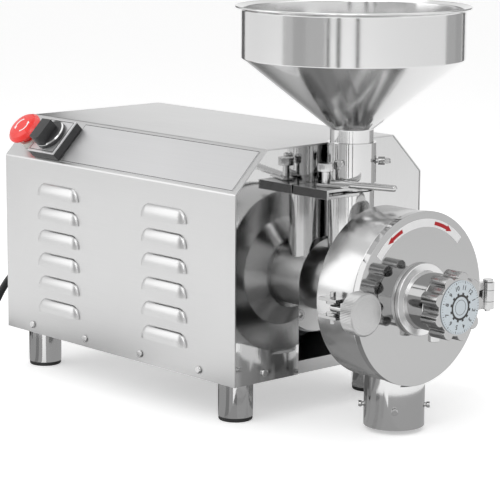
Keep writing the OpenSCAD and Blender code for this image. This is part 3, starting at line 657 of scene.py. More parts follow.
# %% [markdown]
# ## Louvres
# Each louvre is a slot whose upper lip is pressed outwards into a hood with rounded ends. The slots
# are blocks taken out of the sheet. For a hood, a sphere is cut to a quarter, its halves are pulled
# apart and it is made thin. One hood is modelled and the others are copies of it, as one press tool
# makes them all.

# %% Louvre slots
LOUVRE_L = 74
LOUVRE_H = 15
LOUVRE_D = 6
LOUVRE_END = 13
FIRST_X = -77 - LOUVRE_L / 2
FIRST_Z = 29.5
COLUMN_STEP = 186
ROW_STEP = 26.7
LOUVRES = [(FIRST_X - column * COLUMN_STEP, FIRST_Z + row * ROW_STEP)
           for column in range(2) for row in range(6)]
SIDES = (-1, 1)
SLOT_L = LOUVRE_L / 2 - 3
SLOT_DEPTH = 4
SLOT_H = LOUVRE_H * 0.55
slots = []
for side in SIDES:
    for x, z in LOUVRES:
        low = at(x - SLOT_L, side * half_w - SLOT_DEPTH, z + 0.4)
        high = at(x + SLOT_L, side * half_w + SLOT_DEPTH, z + SLOT_H)
        slots.append(round_over("slot", low, high, 0.3, 1))
alone()
for slot_box in slots:
    slot_box.select_set(True)
bpy.context.view_layer.objects.active = slots[0]
bpy.ops.object.join()
combine(housing, slots[0], "DIFFERENCE")
print("slots", len(slots))

# %% Louvre hoods
HOOD_RINGS = 24
HOOD_STEPS = 28
METRE = 1 / MM
ball_run = [(0, METRE)]
for ring in range(1, HOOD_RINGS):
    angle = math.pi * ring / HOOD_RINGS
    ball_run.append((math.sin(angle) * METRE, math.cos(angle) * METRE))
ball_run.append((0, -METRE))
hood = turned("hood", ball_run, TO_X, steps=HOOD_STEPS)
edit_mode()
take_all()
bpy.ops.mesh.bisect(plane_co=(0, 0, 0), plane_no=(0, 0, 1), clear_inner=True)
take_all()
bpy.ops.mesh.bisect(plane_co=(0, 0, 0), plane_no=(0, 1, 0), clear_outer=True)
take_all()
bpy.ops.transform.resize(value=(LOUVRE_END * MM, LOUVRE_D * MM, LOUVRE_H * MM), center_override=(0, 0, 0))
for way in SIDES:
    pick(hood, lambda corner: corner.x * way > 0.0001)
    bpy.ops.transform.translate(value=(way * (LOUVRE_L / 2 - LOUVRE_END) * MM, 0, 0))
object_mode()
lip = hood.modifiers.new("lip", "SOLIDIFY")
lip.thickness = 1.0 * MM
lip.offset = -1
apply_all(hood)
smooth_below(40)
hoods = []
for side in SIDES:
    for x, z in LOUVRES:
        copy = hood.copy()
        copy.data = hood.data.copy()
        show(copy)
        turn_out = Matrix.Rotation(math.pi if side > 0 else 0, 4, "Z")
        copy.data.transform(Matrix.Translation(at(x, side * half_w, z)) @ turn_out)
        hoods.append(copy)
bpy.data.objects.remove(hood)
alone()
housing.select_set(True)
bpy.context.view_layer.objects.active = housing
smooth_below(35)
for copy in hoods:
    copy.select_set(True)
bpy.ops.object.join()
fit_out(housing, "frame", sheet_steel, "brushed_steel", "housing_shell")
print("hoods", len(hoods), "faces", len(housing.data.polygons))

# %% [markdown]
# ## The hopper
# The funnel is spun from thin sheet: a short collar, a cone, an upright band and a rolled rim. Its
# profile is bent, given its wall by a second chain inside the first, and spun round the feed axis.
# Cones and cylinders could be joined instead, but a profile makes the bends between them too.

# %% Hopper
# (radius, height) in mm, from the collar's foot over the cone and the band to the lip, and back
FEED_X = 29.6
OUTER_RUN = [(23.1, 220), (23.1, 264), (117, 338), (117, 388.6), (121.6, 390.6)]
INNER_RUN = [(120.6, 391.4), (115.8, 389.4), (115.8, 338.9), (21.9, 264.9), (21.9, 220)]
HOPPER_BEND = 1.6
BEAD_R = 1.1
BEAD_OUT = 122.6
BEAD_UP = 391.6
bead = []
for degrees in range(-100, 151, 25):
    angle = math.radians(degrees)
    bead.append((BEAD_OUT + BEAD_R * math.cos(angle), BEAD_UP + BEAD_R * math.sin(angle)))
hopper_run = bent(OUTER_RUN, HOPPER_BEND) + bead + bent(INNER_RUN, HOPPER_BEND)
feed_place = Matrix.Translation(at(FEED_X, 0, 0))
hopper = turned("hopper_sheet", hopper_run, feed_place, steps=160, smooth=50)
fit_out(hopper, "frame", hopper_steel, "polished_steel", "hopper")
print("hopper faces", len(hopper.data.polygons))

# %% [markdown]
# ## The milling drum
# The drum is a turned pot with a raised boss at its back. The powder leaves through a round opening
# in its underside, so a cylinder is taken away there. The cylinder is first cut to the depth of the
# room inside, so that it leaves the pot's back and its front rim whole.

# %% Drum
DRUM_R = 90
DRUM_X = 71.5
DRUM_FRONT = 123.5
DRUM_WALL = 4
BOSS_X = DRUM_X - 14
BOSS_R = 39
BOSS_FOOT_R = 60
BOSS_BORE = 34.1
SHAFT_HOLE = 30
SPOUT_X = 97.5
SPOUT_BORE = 30
axis_place = Matrix.Translation(at(0, 0, AXIS_UP)) @ TO_X
back = bent([(BOSS_BORE, BOSS_X), (BOSS_R, BOSS_X), (BOSS_FOOT_R, DRUM_X), (DRUM_R, DRUM_X),
             (DRUM_R, DRUM_FRONT), (DRUM_R - DRUM_WALL, DRUM_FRONT)], 1.0)
room = [(DRUM_R - DRUM_WALL, DRUM_X + DRUM_WALL), (SHAFT_HOLE, DRUM_X + DRUM_WALL),
        (SHAFT_HOLE, DRUM_X), (BOSS_BORE, DRUM_X)]
drum = turned("drum_pot", back + room, axis_place, steps=144)
alone()
bpy.ops.mesh.primitive_cylinder_add(vertices=96, radius=SPOUT_BORE * MM, depth=AXIS_UP * MM,
                                    location=at(SPOUT_X, 0, AXIS_UP / 2))
opening = bpy.context.object
write_place()
edit_mode()
for cut_x, way in ((DRUM_X + DRUM_WALL + 0.01, -1), (DRUM_FRONT - 3, 1)):
    take_all()
    bpy.ops.mesh.bisect(plane_co=at(cut_x, 0, 0), plane_no=(way, 0, 0), clear_outer=True, use_fill=True)
object_mode()
alone()
drum.select_set(True)
combine(drum, opening, "DIFFERENCE")
smooth_below(35)
fit_out(drum, "frame", drum_steel, "polished_steel", "drum")
print("drum faces", len(drum.data.polygons))

# %% [markdown]
# ## The cover and its adjuster
# The cover carries a short tube with a bright flange. The star knob and the dial turn in front of it.
# The tube is turned in one go with its flange, and the flange's faces are then given their paler
# finish by their distance from the axis. Cover and knob are right as solids, so they are softened.

# %% Adjuster tube
COVER_FACE = 132.2
FLANGE_FACE = 137.2
TUBE_END = 164.2
FLANGE_R = 38
TUBE_R = 30
TUBE_BORE = 10.1
tube_profile = bent([(TUBE_BORE, COVER_FACE), (FLANGE_R, COVER_FACE), (FLANGE_R, FLANGE_FACE),
                     (TUBE_R, FLANGE_FACE), (TUBE_R, TUBE_END), (TUBE_BORE, TUBE_END)], 0.8)
hub = turned("adjuster_hub", tube_profile, axis_place, steps=96)
fit_out(hub, "door", mirror_steel, "polished_steel", "adjuster_tube")
hub.data.materials.append(ring_steel)
flange_end = at(FLANGE_FACE + 0.4, 0, 0).x
for face in hub.data.polygons:
    out_from_axis = math.hypot(face.center.y - MIDDLE, face.center.z - AXIS_Z) / MM
    if out_from_axis > TUBE_R + 0.8 and face.center.x < flange_end:
        face.material_index = 1
cover = softened("cover_disc", "cover", 1.3)
fit_out(cover, "door", cover_steel, "polished_steel", "cover")
star = softened("star_grip", "star_knob", 1.8, 4)
fit_out(star, "adjuster", painted_shade_grey_steel, "polished_steel", "star_knob")
print("cover", len(cover.data.polygons), "star", len(star.data.polygons))

# %% [markdown]
# ## The dial
# A pale disc with plain numbers from 1 to 12, a tick for each and a toothed ring between them and the
# middle. The marks are printed, so they are thin flat meshes that sit on the disc's face: text made a
# mesh, bars and rings, joined to one piece. They turn with the disc, and stay sharp close up.

# %% Dial disc
DIAL_BACK = 186.7
DIAL_X = 188.1
DIAL_R = 27.8
MARK_T = 0.12
dial_profile = bent([(0, DIAL_BACK), (DIAL_R, DIAL_BACK), (DIAL_R, DIAL_X), (0, DIAL_X)], 0.4)
disc = turned("dial_disc", dial_profile, axis_place)
fit_out(disc, "adjuster", dial_blue, "dial_face", "dial")
print("dial faces", len(disc.data.polygons))

# %% Helpers for printed marks
FACE_ON = Matrix(((0, 0, 1, 0), (1, 0, 0, 0), (0, 1, 0, 0), (0, 0, 0, 1)))


def on_dial(angle, radius):
    """A place on the dial's face, turned so that up points away from the middle."""
    spot = at(DIAL_X, radius * math.cos(angle), AXIS_UP + radius * math.sin(angle))
    return Matrix.Translation(spot) @ FACE_ON @ Matrix.Rotation(angle - math.pi / 2, 4, "Z")


def flat_bar(width, height, place):
    alone()
    bpy.ops.mesh.primitive_cube_add(size=1, scale=(width * MM, height * MM, MARK_T * MM))
    bar = bpy.context.object
    write_place()
    edit_mode()
    take_all()
    bpy.ops.mesh.bevel(offset=MARK_T * 0.3 * MM, segments=1)
    object_mode()
    return settle(bar, "bar", place)


def printed_ring(inner, outer):
    edge = [(inner, DIAL_X), (outer, DIAL_X), (outer, DIAL_X + MARK_T), (inner, DIAL_X + MARK_T)]
    return turned("ring", edge, axis_place)


def joined(name, parts):
    alone()
    for part in parts:
        part.select_set(True)
    bpy.context.view_layer.objects.active = parts[0]
    bpy.ops.object.join()
    parts[0].name = name
    return parts[0]


print("mark helpers ready")

# %% Dial marks
# sizes of the marks in mm, and how far their middles lie from the axis
FIGURE_SIZE = 6.6
FIGURE_BOLD = 0.12
FIGURE_R = 20.3
HOUR_MARK = (0.7, 2.4)
HOUR_R = 25.9
MINUTE_MARK = (0.35, 1.5)
MINUTE_R = 26.4
TOOTH = (2.8, 2.6)
TOOTH_R = 13.9
TOOTHED_RING = (11.0, 13.2)
MIDDLE_RING = (7.5, 7.9)
marks = []
for hour in range(1, 13):
    angle = math.radians(45 - 30 * hour)
    alone()
    bpy.ops.object.text_add()
    figure = bpy.context.object
    figure.data.body = str(hour)
    figure.data.size = FIGURE_SIZE * MM
    figure.data.align_x = "CENTER"
    figure.data.align_y = "CENTER"
    figure.data.extrude = MARK_T / 2 * MM
    figure.data.offset = FIGURE_BOLD * MM
    bpy.ops.object.convert(target="MESH")
    marks.append(settle(bpy.context.object, "figure", on_dial(angle, FIGURE_R)))
    marks.append(flat_bar(*HOUR_MARK, on_dial(angle, HOUR_R)))
    for minute in range(1, 5):
        marks.append(flat_bar(*MINUTE_MARK, on_dial(angle + math.radians(6 * minute), MINUTE_R)))
    marks.append(flat_bar(*TOOTH, on_dial(angle, TOOTH_R)))
marks.append(printed_ring(*TOOTHED_RING))
marks.append(printed_ring(*MIDDLE_RING))
dial_marks = joined("dial_marks", marks)
fit_out(dial_marks, "adjuster", mark_black, "black_plastic")
print("dial marks", len(dial_marks.data.polygons))

# %% [markdown]
# ## The arrow band
# A white arc on the cover shows which way to turn the star knob. Two plain red arrows point apart.
# The arc is the solid with a soft edge. An arrow's tail is a short line spun a few degrees round the
# axis, so that it follows the arc, and its head is a cylinder with three corners, stretched.

# %% Arrow band
# each arrow's tail, neck and tip, as angles in degrees round the axis
ARROWS = [(111, 122.5, 128), (76, 61.5, 56)]
BAND_X = 132.6
ARROW_IN = 77.4
ARROW_OUT = 81.2
ARROW_R = 79.3
band = softened("white_band", "arrow_band", 0.1, 1)
fit_out(band, "door", white_enamel, "white_enamel", "arrow_band")


def arc_bar(inner, outer, first, last, x):
    """A flat arc round the grinding axis: angles in degrees in the Y-Z plane."""
    alone()
    bpy.ops.mesh.primitive_plane_add(size=MM, location=(0, inner * MM, 0))
    bar = bpy.context.object
    bpy.ops.object.transform_apply(location=True)
    edit_mode()
    bpy.ops.mesh.select_mode(type="VERT")
    bpy.ops.mesh.merge(type="CENTER")
    bpy.ops.mesh.extrude_region_move(TRANSFORM_OT_translate={"value": (0, (outer - inner) * MM, 0)})
    take_all()
    bpy.ops.mesh.spin(steps=24, angle=math.radians(first - last), center=(0, 0, 0), axis=(1, 0, 0))
    object_mode()
    if bar.data.polygons[0].normal.x < 0:
        bar.data.flip_normals()
    thick = bar.modifiers.new("thick", "SOLIDIFY")
    thick.thickness = MARK_T * MM
    thick.offset = 1
    apply_all(bar)
    start = Matrix.Translation(at(x, 0, AXIS_UP)) @ Matrix.Rotation(math.radians(first), 4, "X")
    return settle(bar, "arc", start)


def arrow_head(radius, width, length, spot, turned_by):
    """Three corners, stretched and stood up on the Y-Z plane at `spot`, turned by an angle."""
    alone()
    bpy.ops.mesh.primitive_cylinder_add(vertices=3, radius=radius * MM, depth=MARK_T * MM)
    head = bpy.context.object
    edit_mode()
    take_all()
    bpy.ops.transform.resize(value=(width, length, 1))
    object_mode()
    place = Matrix.Translation(spot) @ FACE_ON @ Matrix.Rotation(turned_by, 4, "Z")
    return settle(head, "head", place)


arrows = []
for tail, neck_angle, tip in ARROWS:
    arrows.append(arc_bar(ARROW_IN, ARROW_OUT, tail, neck_angle, BAND_X))
    way = 1 if tip > tail else -1
    angle = math.radians((neck_angle + tip) / 2 - way * 0.8)
    spot = at(BAND_X, ARROW_R * math.cos(angle), AXIS_UP + ARROW_R * math.sin(angle))
    arrows.append(arrow_head(4.3, 0.92, 1.25, spot, angle + (0 if way > 0 else math.pi)))
red_arrows = joined("red_arrows", arrows)
fit_out(red_arrows, "door", arrow_red, "red_plastic")
print("arrows", len(red_arrows.data.polygons))

# %% [markdown]
# ## The clamp knob
# Its rim is knurled so that it can be turned with floury hands. Every second corner of a many-sided
# cylinder is pulled in, which makes all the teeth at once, and the face is stepped in by an inset.

# %% Clamp knob
KNOB_TEETH = 84
KNOB_R = 22
KNOB_L = 15
KNOB_X = 136.2
TOOTH_DEPTH = 0.978
alone()
bpy.ops.mesh.primitive_cylinder_add(vertices=2 * KNOB_TEETH, radius=KNOB_R * MM, depth=KNOB_L * MM,
                                    location=(0, 0, KNOB_L / 2 * MM))
clamp = bpy.context.object
write_place()
edit_mode()
pick(clamp, lambda corner: round(math.atan2(corner.x, corner.y) / math.pi * KNOB_TEETH) % 2 == 1)
bpy.ops.transform.resize(value=(TOOTH_DEPTH, TOOTH_DEPTH, 1))
pick_faces(clamp, lambda face: abs(face.normal.z) > 0.9)
bpy.ops.mesh.inset(thickness=1.2 * MM, depth=0.9 * MM)
bpy.ops.mesh.inset(thickness=1.0 * MM, depth=0)
pick_faces(clamp, lambda face: face.normal.z > 0.9 and len(face.vertices) > 20)
bpy.ops.mesh.inset(thickness=2.0 * MM, depth=0.5 * MM)
object_mode()
boss = turned("boss", bent([(0, -3.5), (9, -3.5), (9, 1), (0, 1)], 0.4), Matrix.Identity(4))
clamp = joined("knurled_knob", [clamp, boss])
smooth_below(25)
settle(clamp, "knurled_knob", Matrix.Translation(at(KNOB_X, CLAMP_Y, AXIS_UP)) @ TO_X)
fit_out(clamp, "clamp", knob_face, "polished_steel", "clamp_knob")
print("clamp knob faces", len(clamp.data.polygons))

# %% [markdown]
# ## The switch and the emergency stop
# Both sit on the left shoulder. Their places are counted up the slope from its lower edge, and a
# matrix stands them square to it, so each can be drawn as if it lay flat. The switch has a dark box
# with a steel face and a black handle: a round skirt with a block on it, which is a turned part cut
# flat on three sides.

# %% Places on the shoulder
SLOPE_A = math.atan2(SLOPE_H, SLOPE_W)
SLOPE_U = 27.5
SWITCH_X = 325.5
STOP_X = 371


def on_slope(x, height=0.0):
    foot = at(-x, -half_w + SLOPE_U * math.cos(SLOPE_A), WALL_H + SLOPE_U * math.sin(SLOPE_A))
    lean = Matrix.Rotation(SLOPE_A, 4, "X")
    return Matrix.Translation(foot) @ lean @ Matrix.Translation((0, 0, height * MM))


switch_stand = on_slope(SWITCH_X)
print("slope", round(math.degrees(SLOPE_A), 1), "degrees")

# %% Switch face
PLATE_W = 48
PLATE_LOW = 11.0
PLATE_TOP = 12.5
PLATE_MIDDLE = (PLATE_LOW + PLATE_TOP) / 2
LINE_IN = 21.0
LINE_OUT = 22.1
alone()
bpy.ops.mesh.primitive_cube_add(size=1, location=(0, 0, PLATE_MIDDLE * MM),
                                scale=(PLATE_W * MM, PLATE_W * MM, (PLATE_TOP - PLATE_LOW) * MM))
plate = bpy.context.object
write_place()
edit_mode()
pick_faces(plate, lambda face: face.normal.z > 0.9)
bpy.ops.mesh.inset(thickness=0.5 * MM, depth=0.3 * MM)
bpy.ops.mesh.inset(thickness=1.6 * MM, depth=0)
bpy.ops.mesh.inset(thickness=0.9 * MM, depth=0)
object_mode()
settle(plate, "switch_face", on_slope(SWITCH_X, -0.3))
fit_out(plate, "frame", plate_metal, "brushed_steel", "switch_plate")
plate.data.materials.append(mark_black)
flat_again = switch_stand.inverted()
for face in plate.data.polygons:
    spot = flat_again @ face.center
    across = max(abs(spot.x), abs(spot.y)) / MM
    if LINE_IN < across < LINE_OUT and spot.z > (PLATE_TOP - 0.7) * MM:
        face.material_index = 1
base = softened("switch_block", "switch_base", 1.2)
fit_out(base, "frame", black_plastic, "black_plastic", "switch_base")
print("switch face", len(plate.data.polygons), "box", len(base.data.polygons))

# %% Switch handle
# runs as (radius, height) in mm, and cuts as (across, up the slope, distance from the middle)
SKIRT_RUN = [(0, 12.8), (19, 12.8), (19, 16.4), (15.4, 18.8), (0, 18.8)]
BLOCK_RUN = [(0, 17), (18.9, 17), (18.9, 31.4), (0, 31.4)]
RING_RUN = [(17.2, 17.6), (18.7, 16.5), (18.9, 16.8), (17.4, 17.9)]
SIDE_CUTS = ((1, 0, 8), (-1, 0, 8), (0, 1, 9))
skirt = turned("switch_handle", bent(SKIRT_RUN, 0.5), switch_stand)
block = turned("block", bent(BLOCK_RUN, 0.6), switch_stand)
edit_mode()
for across, up_slope, reach in SIDE_CUTS:
    way = switch_stand.to_3x3() @ Vector((across, up_slope, 0))
    cut_at = switch_stand.translation + way * reach * MM
    take_all()
    bpy.ops.mesh.bisect(plane_co=cut_at, plane_no=way, clear_outer=True, use_fill=True)
object_mode()
soften(block, 0.7)
handle = joined("switch_handle", [skirt, block])
fit_out(handle, "switch_knob", black_plastic, "black_plastic", "switch_knob")
ring = turned("switch_ring", RING_RUN, switch_stand)
fit_out(ring, "switch_knob", soft_steel, "brushed_steel")
print("switch faces", len(handle.data.polygons))

# %% [markdown]
# ## The plate on the shoulder
# A thin sheet of brushed steel lies on the shoulder beside the switch, with a fine dark line round
# its edge. Two insets on the solid's upper face give the line a strip of its own to be painted on.

# %% Bare plate beside the switch
type_plate = softened("type_plate", "label_plate", 0)
slope_up = switch_stand.to_3x3() @ Vector((0, 0, 1))
edit_mode()
pick_faces(type_plate, lambda face: face.normal.dot(slope_up) > 0.99)
bpy.ops.mesh.inset(thickness=0.3 * MM, depth=0.1 * MM)
bpy.ops.mesh.inset(thickness=0.7 * MM, depth=0)
object_mode()
fit_out(type_plate, "frame", plate_metal, "label_metal", "label_plate")
type_plate.data.materials.append(mark_black)
plate_tops = [face for face in type_plate.data.polygons if face.normal.dot(slope_up) > 0.99]
largest = max(plate_tops, key=lambda face: face.area)
for face in plate_tops:
    if face.index != largest.index:
        face.material_index = 1
print("plate faces", len(type_plate.data.polygons))

# %% [markdown]
# ## The emergency stop
# A red mushroom cap that is hit with the palm of the hand and twisted to let it go. The cap is turned
# with wide bends, as it comes out of its mould. Its two white arrows run round the top, so each is an
# arc and a head, drawn upright at the origin and then laid onto the cap.

# %% Emergency stop
STOP_TOP = 24.5
CAP_RUN = [(0, 13.5), (16, 13.5), (21, 17.2), (21, 19.6), (17.6, 23.2), (11, STOP_TOP), (0, STOP_TOP)]
STOP_ARC = (8.2, 9.8)
STOP_HEAD_R = 9
ARC_SWEEP = 95
HEAD_SWEEP = 101
stop = turned("stop_cap", bent(CAP_RUN, 1.6, 5), on_slope(STOP_X), steps=96, smooth=60)
fit_out(stop, "stop_head", red_plastic, "red_plastic", "stop_head")
collar = softened("stop_ring", "stop_collar", 0.8)
fit_out(collar, "frame", grey_plastic, "grey_plastic", "stop_collar")
curves = []
for begin in (20, 200):
    arc = arc_bar(*STOP_ARC, begin, begin + ARC_SWEEP, 0)
    arc.data.transform(Matrix.Translation(at(0, 0, AXIS_UP)).inverted())
    curves.append(arc)
    angle = math.radians(begin + HEAD_SWEEP)
    spot = Vector((0, STOP_HEAD_R * MM * math.cos(angle), STOP_HEAD_R * MM * math.sin(angle)))
    curves.append(arrow_head(2.7, 0.9, 1.1, spot, angle))
stop_marks = joined("stop_arrows", curves)
laid_down = Matrix.Rotation(-math.pi / 2, 4, "Y")
settle(stop_marks, "stop_arrows", on_slope(STOP_X, STOP_TOP) @ laid_down)
fit_out(stop_marks, "stop_head", white_enamel, "white_enamel")
print("stop faces", len(stop.data.polygons))

# %% [markdown]
# ## The swing gate
# A slide in a flat box shuts off the grain. Its spindle rises through the box and carries a strip
# with a round handle, which ends in a dome. The box is right as a solid. Stem and rod are turned, the
# strip is a block, and the three are joined, because they turn as one.

# %% Gate box
SIDE_AREA = 0.0002
gate_box = softened("gate_housing", "gate_box", 0.8)
fit_out(gate_box, "frame", soft_steel, "polished_steel", "gate_box")
# the box's large side towards -Y, which faces the camera, gets the near-black steel as painted shade
gate_box.data.materials.append(painted_shade_black_steel)
for face in gate_box.data.polygons:
    if face.normal.y < -0.95 and face.area > SIDE_AREA:
        face.material_index = 1
print("gate box faces", len(gate_box.data.polygons))

# %% Gate handle
GATE_Y = -38
STRIP_Z = 206.3
STEM_RUN = [(0, 197.6), (4, 197.6), (4, 222), (8.6, 222), (8.6, 230.5), (0, 230.5)]
STRIP_LOW = Vector((-7, -6.5, 0)) * MM
STRIP_HIGH = Vector((29, 6.5, 3)) * MM
LEVER_TURN = math.radians(20)
HANDLE_R = 3.6
ROD_RUN = [(0, 6), (HANDLE_R, 6), (HANDLE_R, 79.5), (0, 82)]
stem = turned("stem", bent(STEM_RUN, 0.7), Matrix.Translation(at(FEED_X, GATE_Y, 0)))
lever_place = Matrix.Translation(at(FEED_X, GATE_Y, STRIP_Z)) @ Matrix.Rotation(LEVER_TURN, 4, "Z")
strip = round_over("strip", STRIP_LOW, STRIP_HIGH, 0.6)
settle(strip, "strip", lever_place)
rod_place = lever_place @ Matrix.Translation((0, 0, (HANDLE_R - 0.2) * MM)) @ TO_X
rod = turned("rod", bent(ROD_RUN, 1.8, 5), rod_place, steps=32)
lever = joined("gate_handle", [stem, strip, rod])
fit_out(lever, "gate", soft_steel, "polished_steel", "gate_lever")
print("handle faces", len(lever.data.polygons))

# %% [markdown]
# ## The small parts
# The rest are turned, sawn or moulded parts whose solids are right. Each gets the edge that its
# making leaves: wide on mouldings and rubber, narrow on machined steel. A table says which piece
# stands for which solid, what it rides on, its finish and its edge.

# %% Softened parts
# piece, solid, body, finish, slot and the edge's width in mm
SOFT = [("leg_posts", "legs", "frame", pipe_steel, "polished_steel", 1.0),
        ("leg_rubbers", "foot_pads", "frame", black_rubber, "black_rubber", 0.6),
        ("neck_pipe", "neck", "frame", neck_steel, "polished_steel", 0.6),
        ("spout", "outlet", "frame", pipe_steel, "polished_steel", 0.4),
        ("feed_pipe", "feed_tube", "frame", pipe_steel, "polished_steel", 0.4),
        ("gate_plate", "gate_shutter", "gate", soft_steel, "polished_steel", 0.3),
        ("clamp_bracket", "clamp_fork", "frame", painted_shade_grey_steel, "polished_steel", 0.5),
        ("clamp_bolt", "clamp_screw", "clamp", painted_shade_grey_steel, "polished_steel", 0.5),
        ("hinge_arm", "drum_hinge", "frame", soft_steel, "polished_steel", 0.5),
        ("hinge_ears", "cover_hinge", "door", soft_steel, "polished_steel", 0.5),
        ("hinge_bolt", "hinge_pin", "frame", soft_steel, "polished_steel", 0.6),
        ("flange_bolts", "neck_bolts", "frame", soft_steel, "polished_steel", 0.4),
        ("side_screws", "housing_screws", "frame", soft_steel, "polished_steel", 0.7),
        ("button_screws", "small_screws", "frame", soft_steel, "polished_steel", 0.8),
        ("hub_screw", "lock_screw", "lock_screw", soft_steel, "polished_steel", 0.6),
        ("winged_screw", "wing_screw", "wing_screw", painted_shade_grey_steel, "polished_steel", 0.6),
        ("drum_seal", "gasket", "frame", black_rubber, "black_rubber", 0.2),
        ("cord_bush", "cord_gland", "frame", black_plastic, "black_plastic", 0.6),
        ("power_plug", "plug", "frame", black_rubber, "black_rubber", 1.2)]
for name, node, body, material, finish_slot, width in SOFT:
    fit_out(softened(name, node, width), body, material, finish_slot, node)
print("softened", len(SOFT), "parts")

# %% [markdown]
# ## The floor
# A pale floor keeps the machine's shadow. It glows a little for the camera and in mirrors, so that it
# is as bright as the background there, but it sends no light of its own onto the object.

# %% Floor
FLOOR_GLOW = 0.42
alone()
bpy.ops.mesh.primitive_plane_add(size=30, location=(0, 0, 0))
floor = bpy.context.object
floor.name = "floor"
floor_finish = Finish("floor_white", grey(0.90), 0.0, 0.8)
floor.data.materials.append(floor_finish.material)
direct = floor_finish.add("ShaderNodeLightPath", {}, {}, "Is Camera Ray")
mirrored = floor_finish.add("ShaderNodeLightPath", {}, {}, "Is Glossy Ray")
seen_floor = direct.maths("MAXIMUM", direct, mirrored)
glow = floor_finish.mix(seen_floor, shaded(grey(0.0)), shaded(grey(FLOOR_GLOW)))
floor_finish.set("Emission Color", glow)
floor_finish.set("Emission Strength", 1.0)
print("floor", tuple(round(side, 1) for side in floor.dimensions))

# %% [markdown]
# ## Grey cards
# Metal only shows what stands around it, so grey cards stand outside the picture, as a photographer
# sets them. Each is seen by reflections only: the camera, the shadows and the soft light pass
# through it. A tall card draws an upright band on the hopper and the feed tube, and a fan on the
# floor draws one on a leg or on the spout, which stand too low to see the tall cards.

# %% Card helpers
def as_card(card, name, tone):
    card.name = name
    paint = Finish(name, grey(0.0), 0.0, 1.0)
    paint.set("Emission Color", shaded(grey(tone)))
    paint.set("Emission Strength", 1.0)
    card.data.materials.append(paint.material)
    card.visible_camera = False
    card.visible_shadow = False
    card.visible_diffuse = False


def hung_card(name, spot, size, turn, tone):
    alone()
    bpy.ops.mesh.primitive_plane_add(size=1, location=spot, rotation=turn)
    card = bpy.context.object
    card.scale = (*size, 1)
    as_card(card, name, tone)


print("card helpers ready")

# %% Tall cards
# azimuth and width in degrees, and the card's tone
CARD_AWAY = 1.28
CARD_TALL = 1.3
TALL_CARDS = [(165, 16, 0.12), (-112, 12, 0.66), (-99, 14, 0.50), (-82, 20, 0.58), (-69, 3.2, 0.10),
              (-59, 3.6, 0.03), (-40.5, 3.2, 0.04), (70, 20, 0.52), (88, 18, 0.44), (104, 10, 0.14)]
card_middle = at(30, 0, 0)
for number, (azimuth, spread, tone) in enumerate(TALL_CARDS):
    angle = math.radians(azimuth)
    away = Vector((math.cos(angle), math.sin(angle), 0)) * CARD_AWAY
    spot = Vector((card_middle.x, card_middle.y, CARD_TALL / 2)) + away
    width = 2 * CARD_AWAY * math.tan(math.radians(spread / 2))
    facing = (math.radians(90), 0, angle + math.pi / 2)
    hung_card(f"card_{number}", spot, (width, CARD_TALL), facing, tone)
print("tall cards", len(TALL_CARDS))

# %% Cards for the drum and the adjuster
# place, size in metres, lean in degrees, tone
HIGH_CARDS = {"card_over": (at(1000, -220, 950), (0.9, 0.8), -50, 0.30),
              "card_back": (at(-900, -260, 980), (0.5, 0.9), 45, 0.16)}
for name, (spot, size, lean, tone) in HIGH_CARDS.items():
    hung_card(name, spot, size, (0, math.radians(lean), 0), tone)
print("high cards", len(HIGH_CARDS))

# %% Fans on the floor
# first and last azimuth in degrees, and the fan's tone
LEG_FANS = [(-210, -170, 0.12), (-170, -102, 0.34), (-102, -80, 0.20), (-80, -57, 0.36), (-33, 105, 0.40),
            (105, 150, 0.12)]
SPOUT_FANS = [(-210, -160, 0.10), (-160, -112, 0.32), (-112, -98, 0.16), (-98, -80, 0.34), (-66, 105, 0.42),
              (105, 150, 0.12)]
FAN_REACH = 0.20
FAN_STEP = 12
FAN_Z = -46.6
LEG_Y = -100.5
FAN_FEET = (("front_leg", at(-40, LEG_Y, FAN_Z), LEG_FANS), ("rear_leg", at(-378, LEG_Y, FAN_Z), LEG_FANS),
            ("spout", at(SPOUT_X, 0, FAN_Z), SPOUT_FANS))


def floor_fan(name, foot, first, last, tone):
    steps = max(2, round((last - first) / FAN_STEP))
    turns = [math.radians(first + (last - first) * k / steps) for k in range(steps + 1)]
    corners = [foot] + [foot + Vector((math.cos(t), math.sin(t), 0)) * FAN_REACH for t in turns]
    sheet = bpy.data.meshes.new(name)
    sheet.from_pydata(corners, [], [(0, k, k + 1) for k in range(1, steps + 1)])
    fan = bpy.data.objects.new(name, sheet)
    show(fan)
    as_card(fan, name, tone)


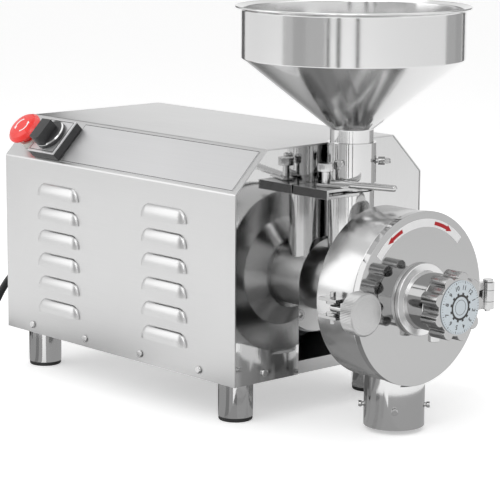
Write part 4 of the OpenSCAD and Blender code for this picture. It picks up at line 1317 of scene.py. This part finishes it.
for name, foot, fans in FAN_FEET:
    for number, (first, last, tone) in enumerate(fans):
        floor_fan(f"{name}_fan_{number}", foot, first, last, tone)
print("fans", sum(len(fans) for name, foot, fans in FAN_FEET))

# %% [markdown]
# ## Backdrop and lamps
# The world is white where the camera or a mirror sees it, and dimmer where it only lights the object,
# so that the background is white and the steel keeps its own grey. Three wide, weak lamps give the
# shapes a lit side and the floor a soft shadow.

# %% Backdrop
AMBIENT = 0.55
world = bpy.data.worlds.new("studio")
bpy.context.scene.world = world
world.use_nodes = True
backdrop = world.node_tree.nodes["Background"]
path = world.node_tree.nodes.new("ShaderNodeLightPath")
seen = world.node_tree.nodes.new("ShaderNodeMath")
seen.operation = "MAXIMUM"
also = world.node_tree.nodes.new("ShaderNodeMath")
also.operation = "MAXIMUM"
strength = world.node_tree.nodes.new("ShaderNodeMapRange")
links = world.node_tree.links
links.new(path.outputs["Is Camera Ray"], seen.inputs[0])
links.new(path.outputs["Is Glossy Ray"], seen.inputs[1])
links.new(seen.outputs[0], also.inputs[0])
links.new(path.outputs["Is Transmission Ray"], also.inputs[1])
links.new(also.outputs[0], strength.inputs["Value"])
strength.inputs["To Min"].default_value = AMBIENT
strength.inputs["To Max"].default_value = 1.0
links.new(strength.outputs[0], backdrop.inputs["Strength"])
backdrop.inputs["Color"].default_value = (1, 1, 1, 1)
print("ambient light", AMBIENT)

# %% Lamps
# place, watts, and the side of the square in metres
AIM = at(-100, 0, 150)
LAMPS = [("key", at(900, -1500, 1500), 14.0, 1.6), ("fill", at(-1200, -1400, 900), 6.0, 1.4),
         ("top", at(-150, 200, 1900), 9.0, 2.0)]
for name, spot, power, size in LAMPS:
    lamp_data = bpy.data.lights.new(name, "AREA")
    lamp_data.energy = power
    lamp_data.size = size
    lamp = bpy.data.objects.new(name, lamp_data)
    show(lamp)
    lamp.location = spot
    lamp.rotation_euler = (AIM - spot).to_track_quat("-Z", "Y").to_euler()
bpy.context.scene.view_settings.view_transform = "Standard"
print("lamps", len(LAMPS))
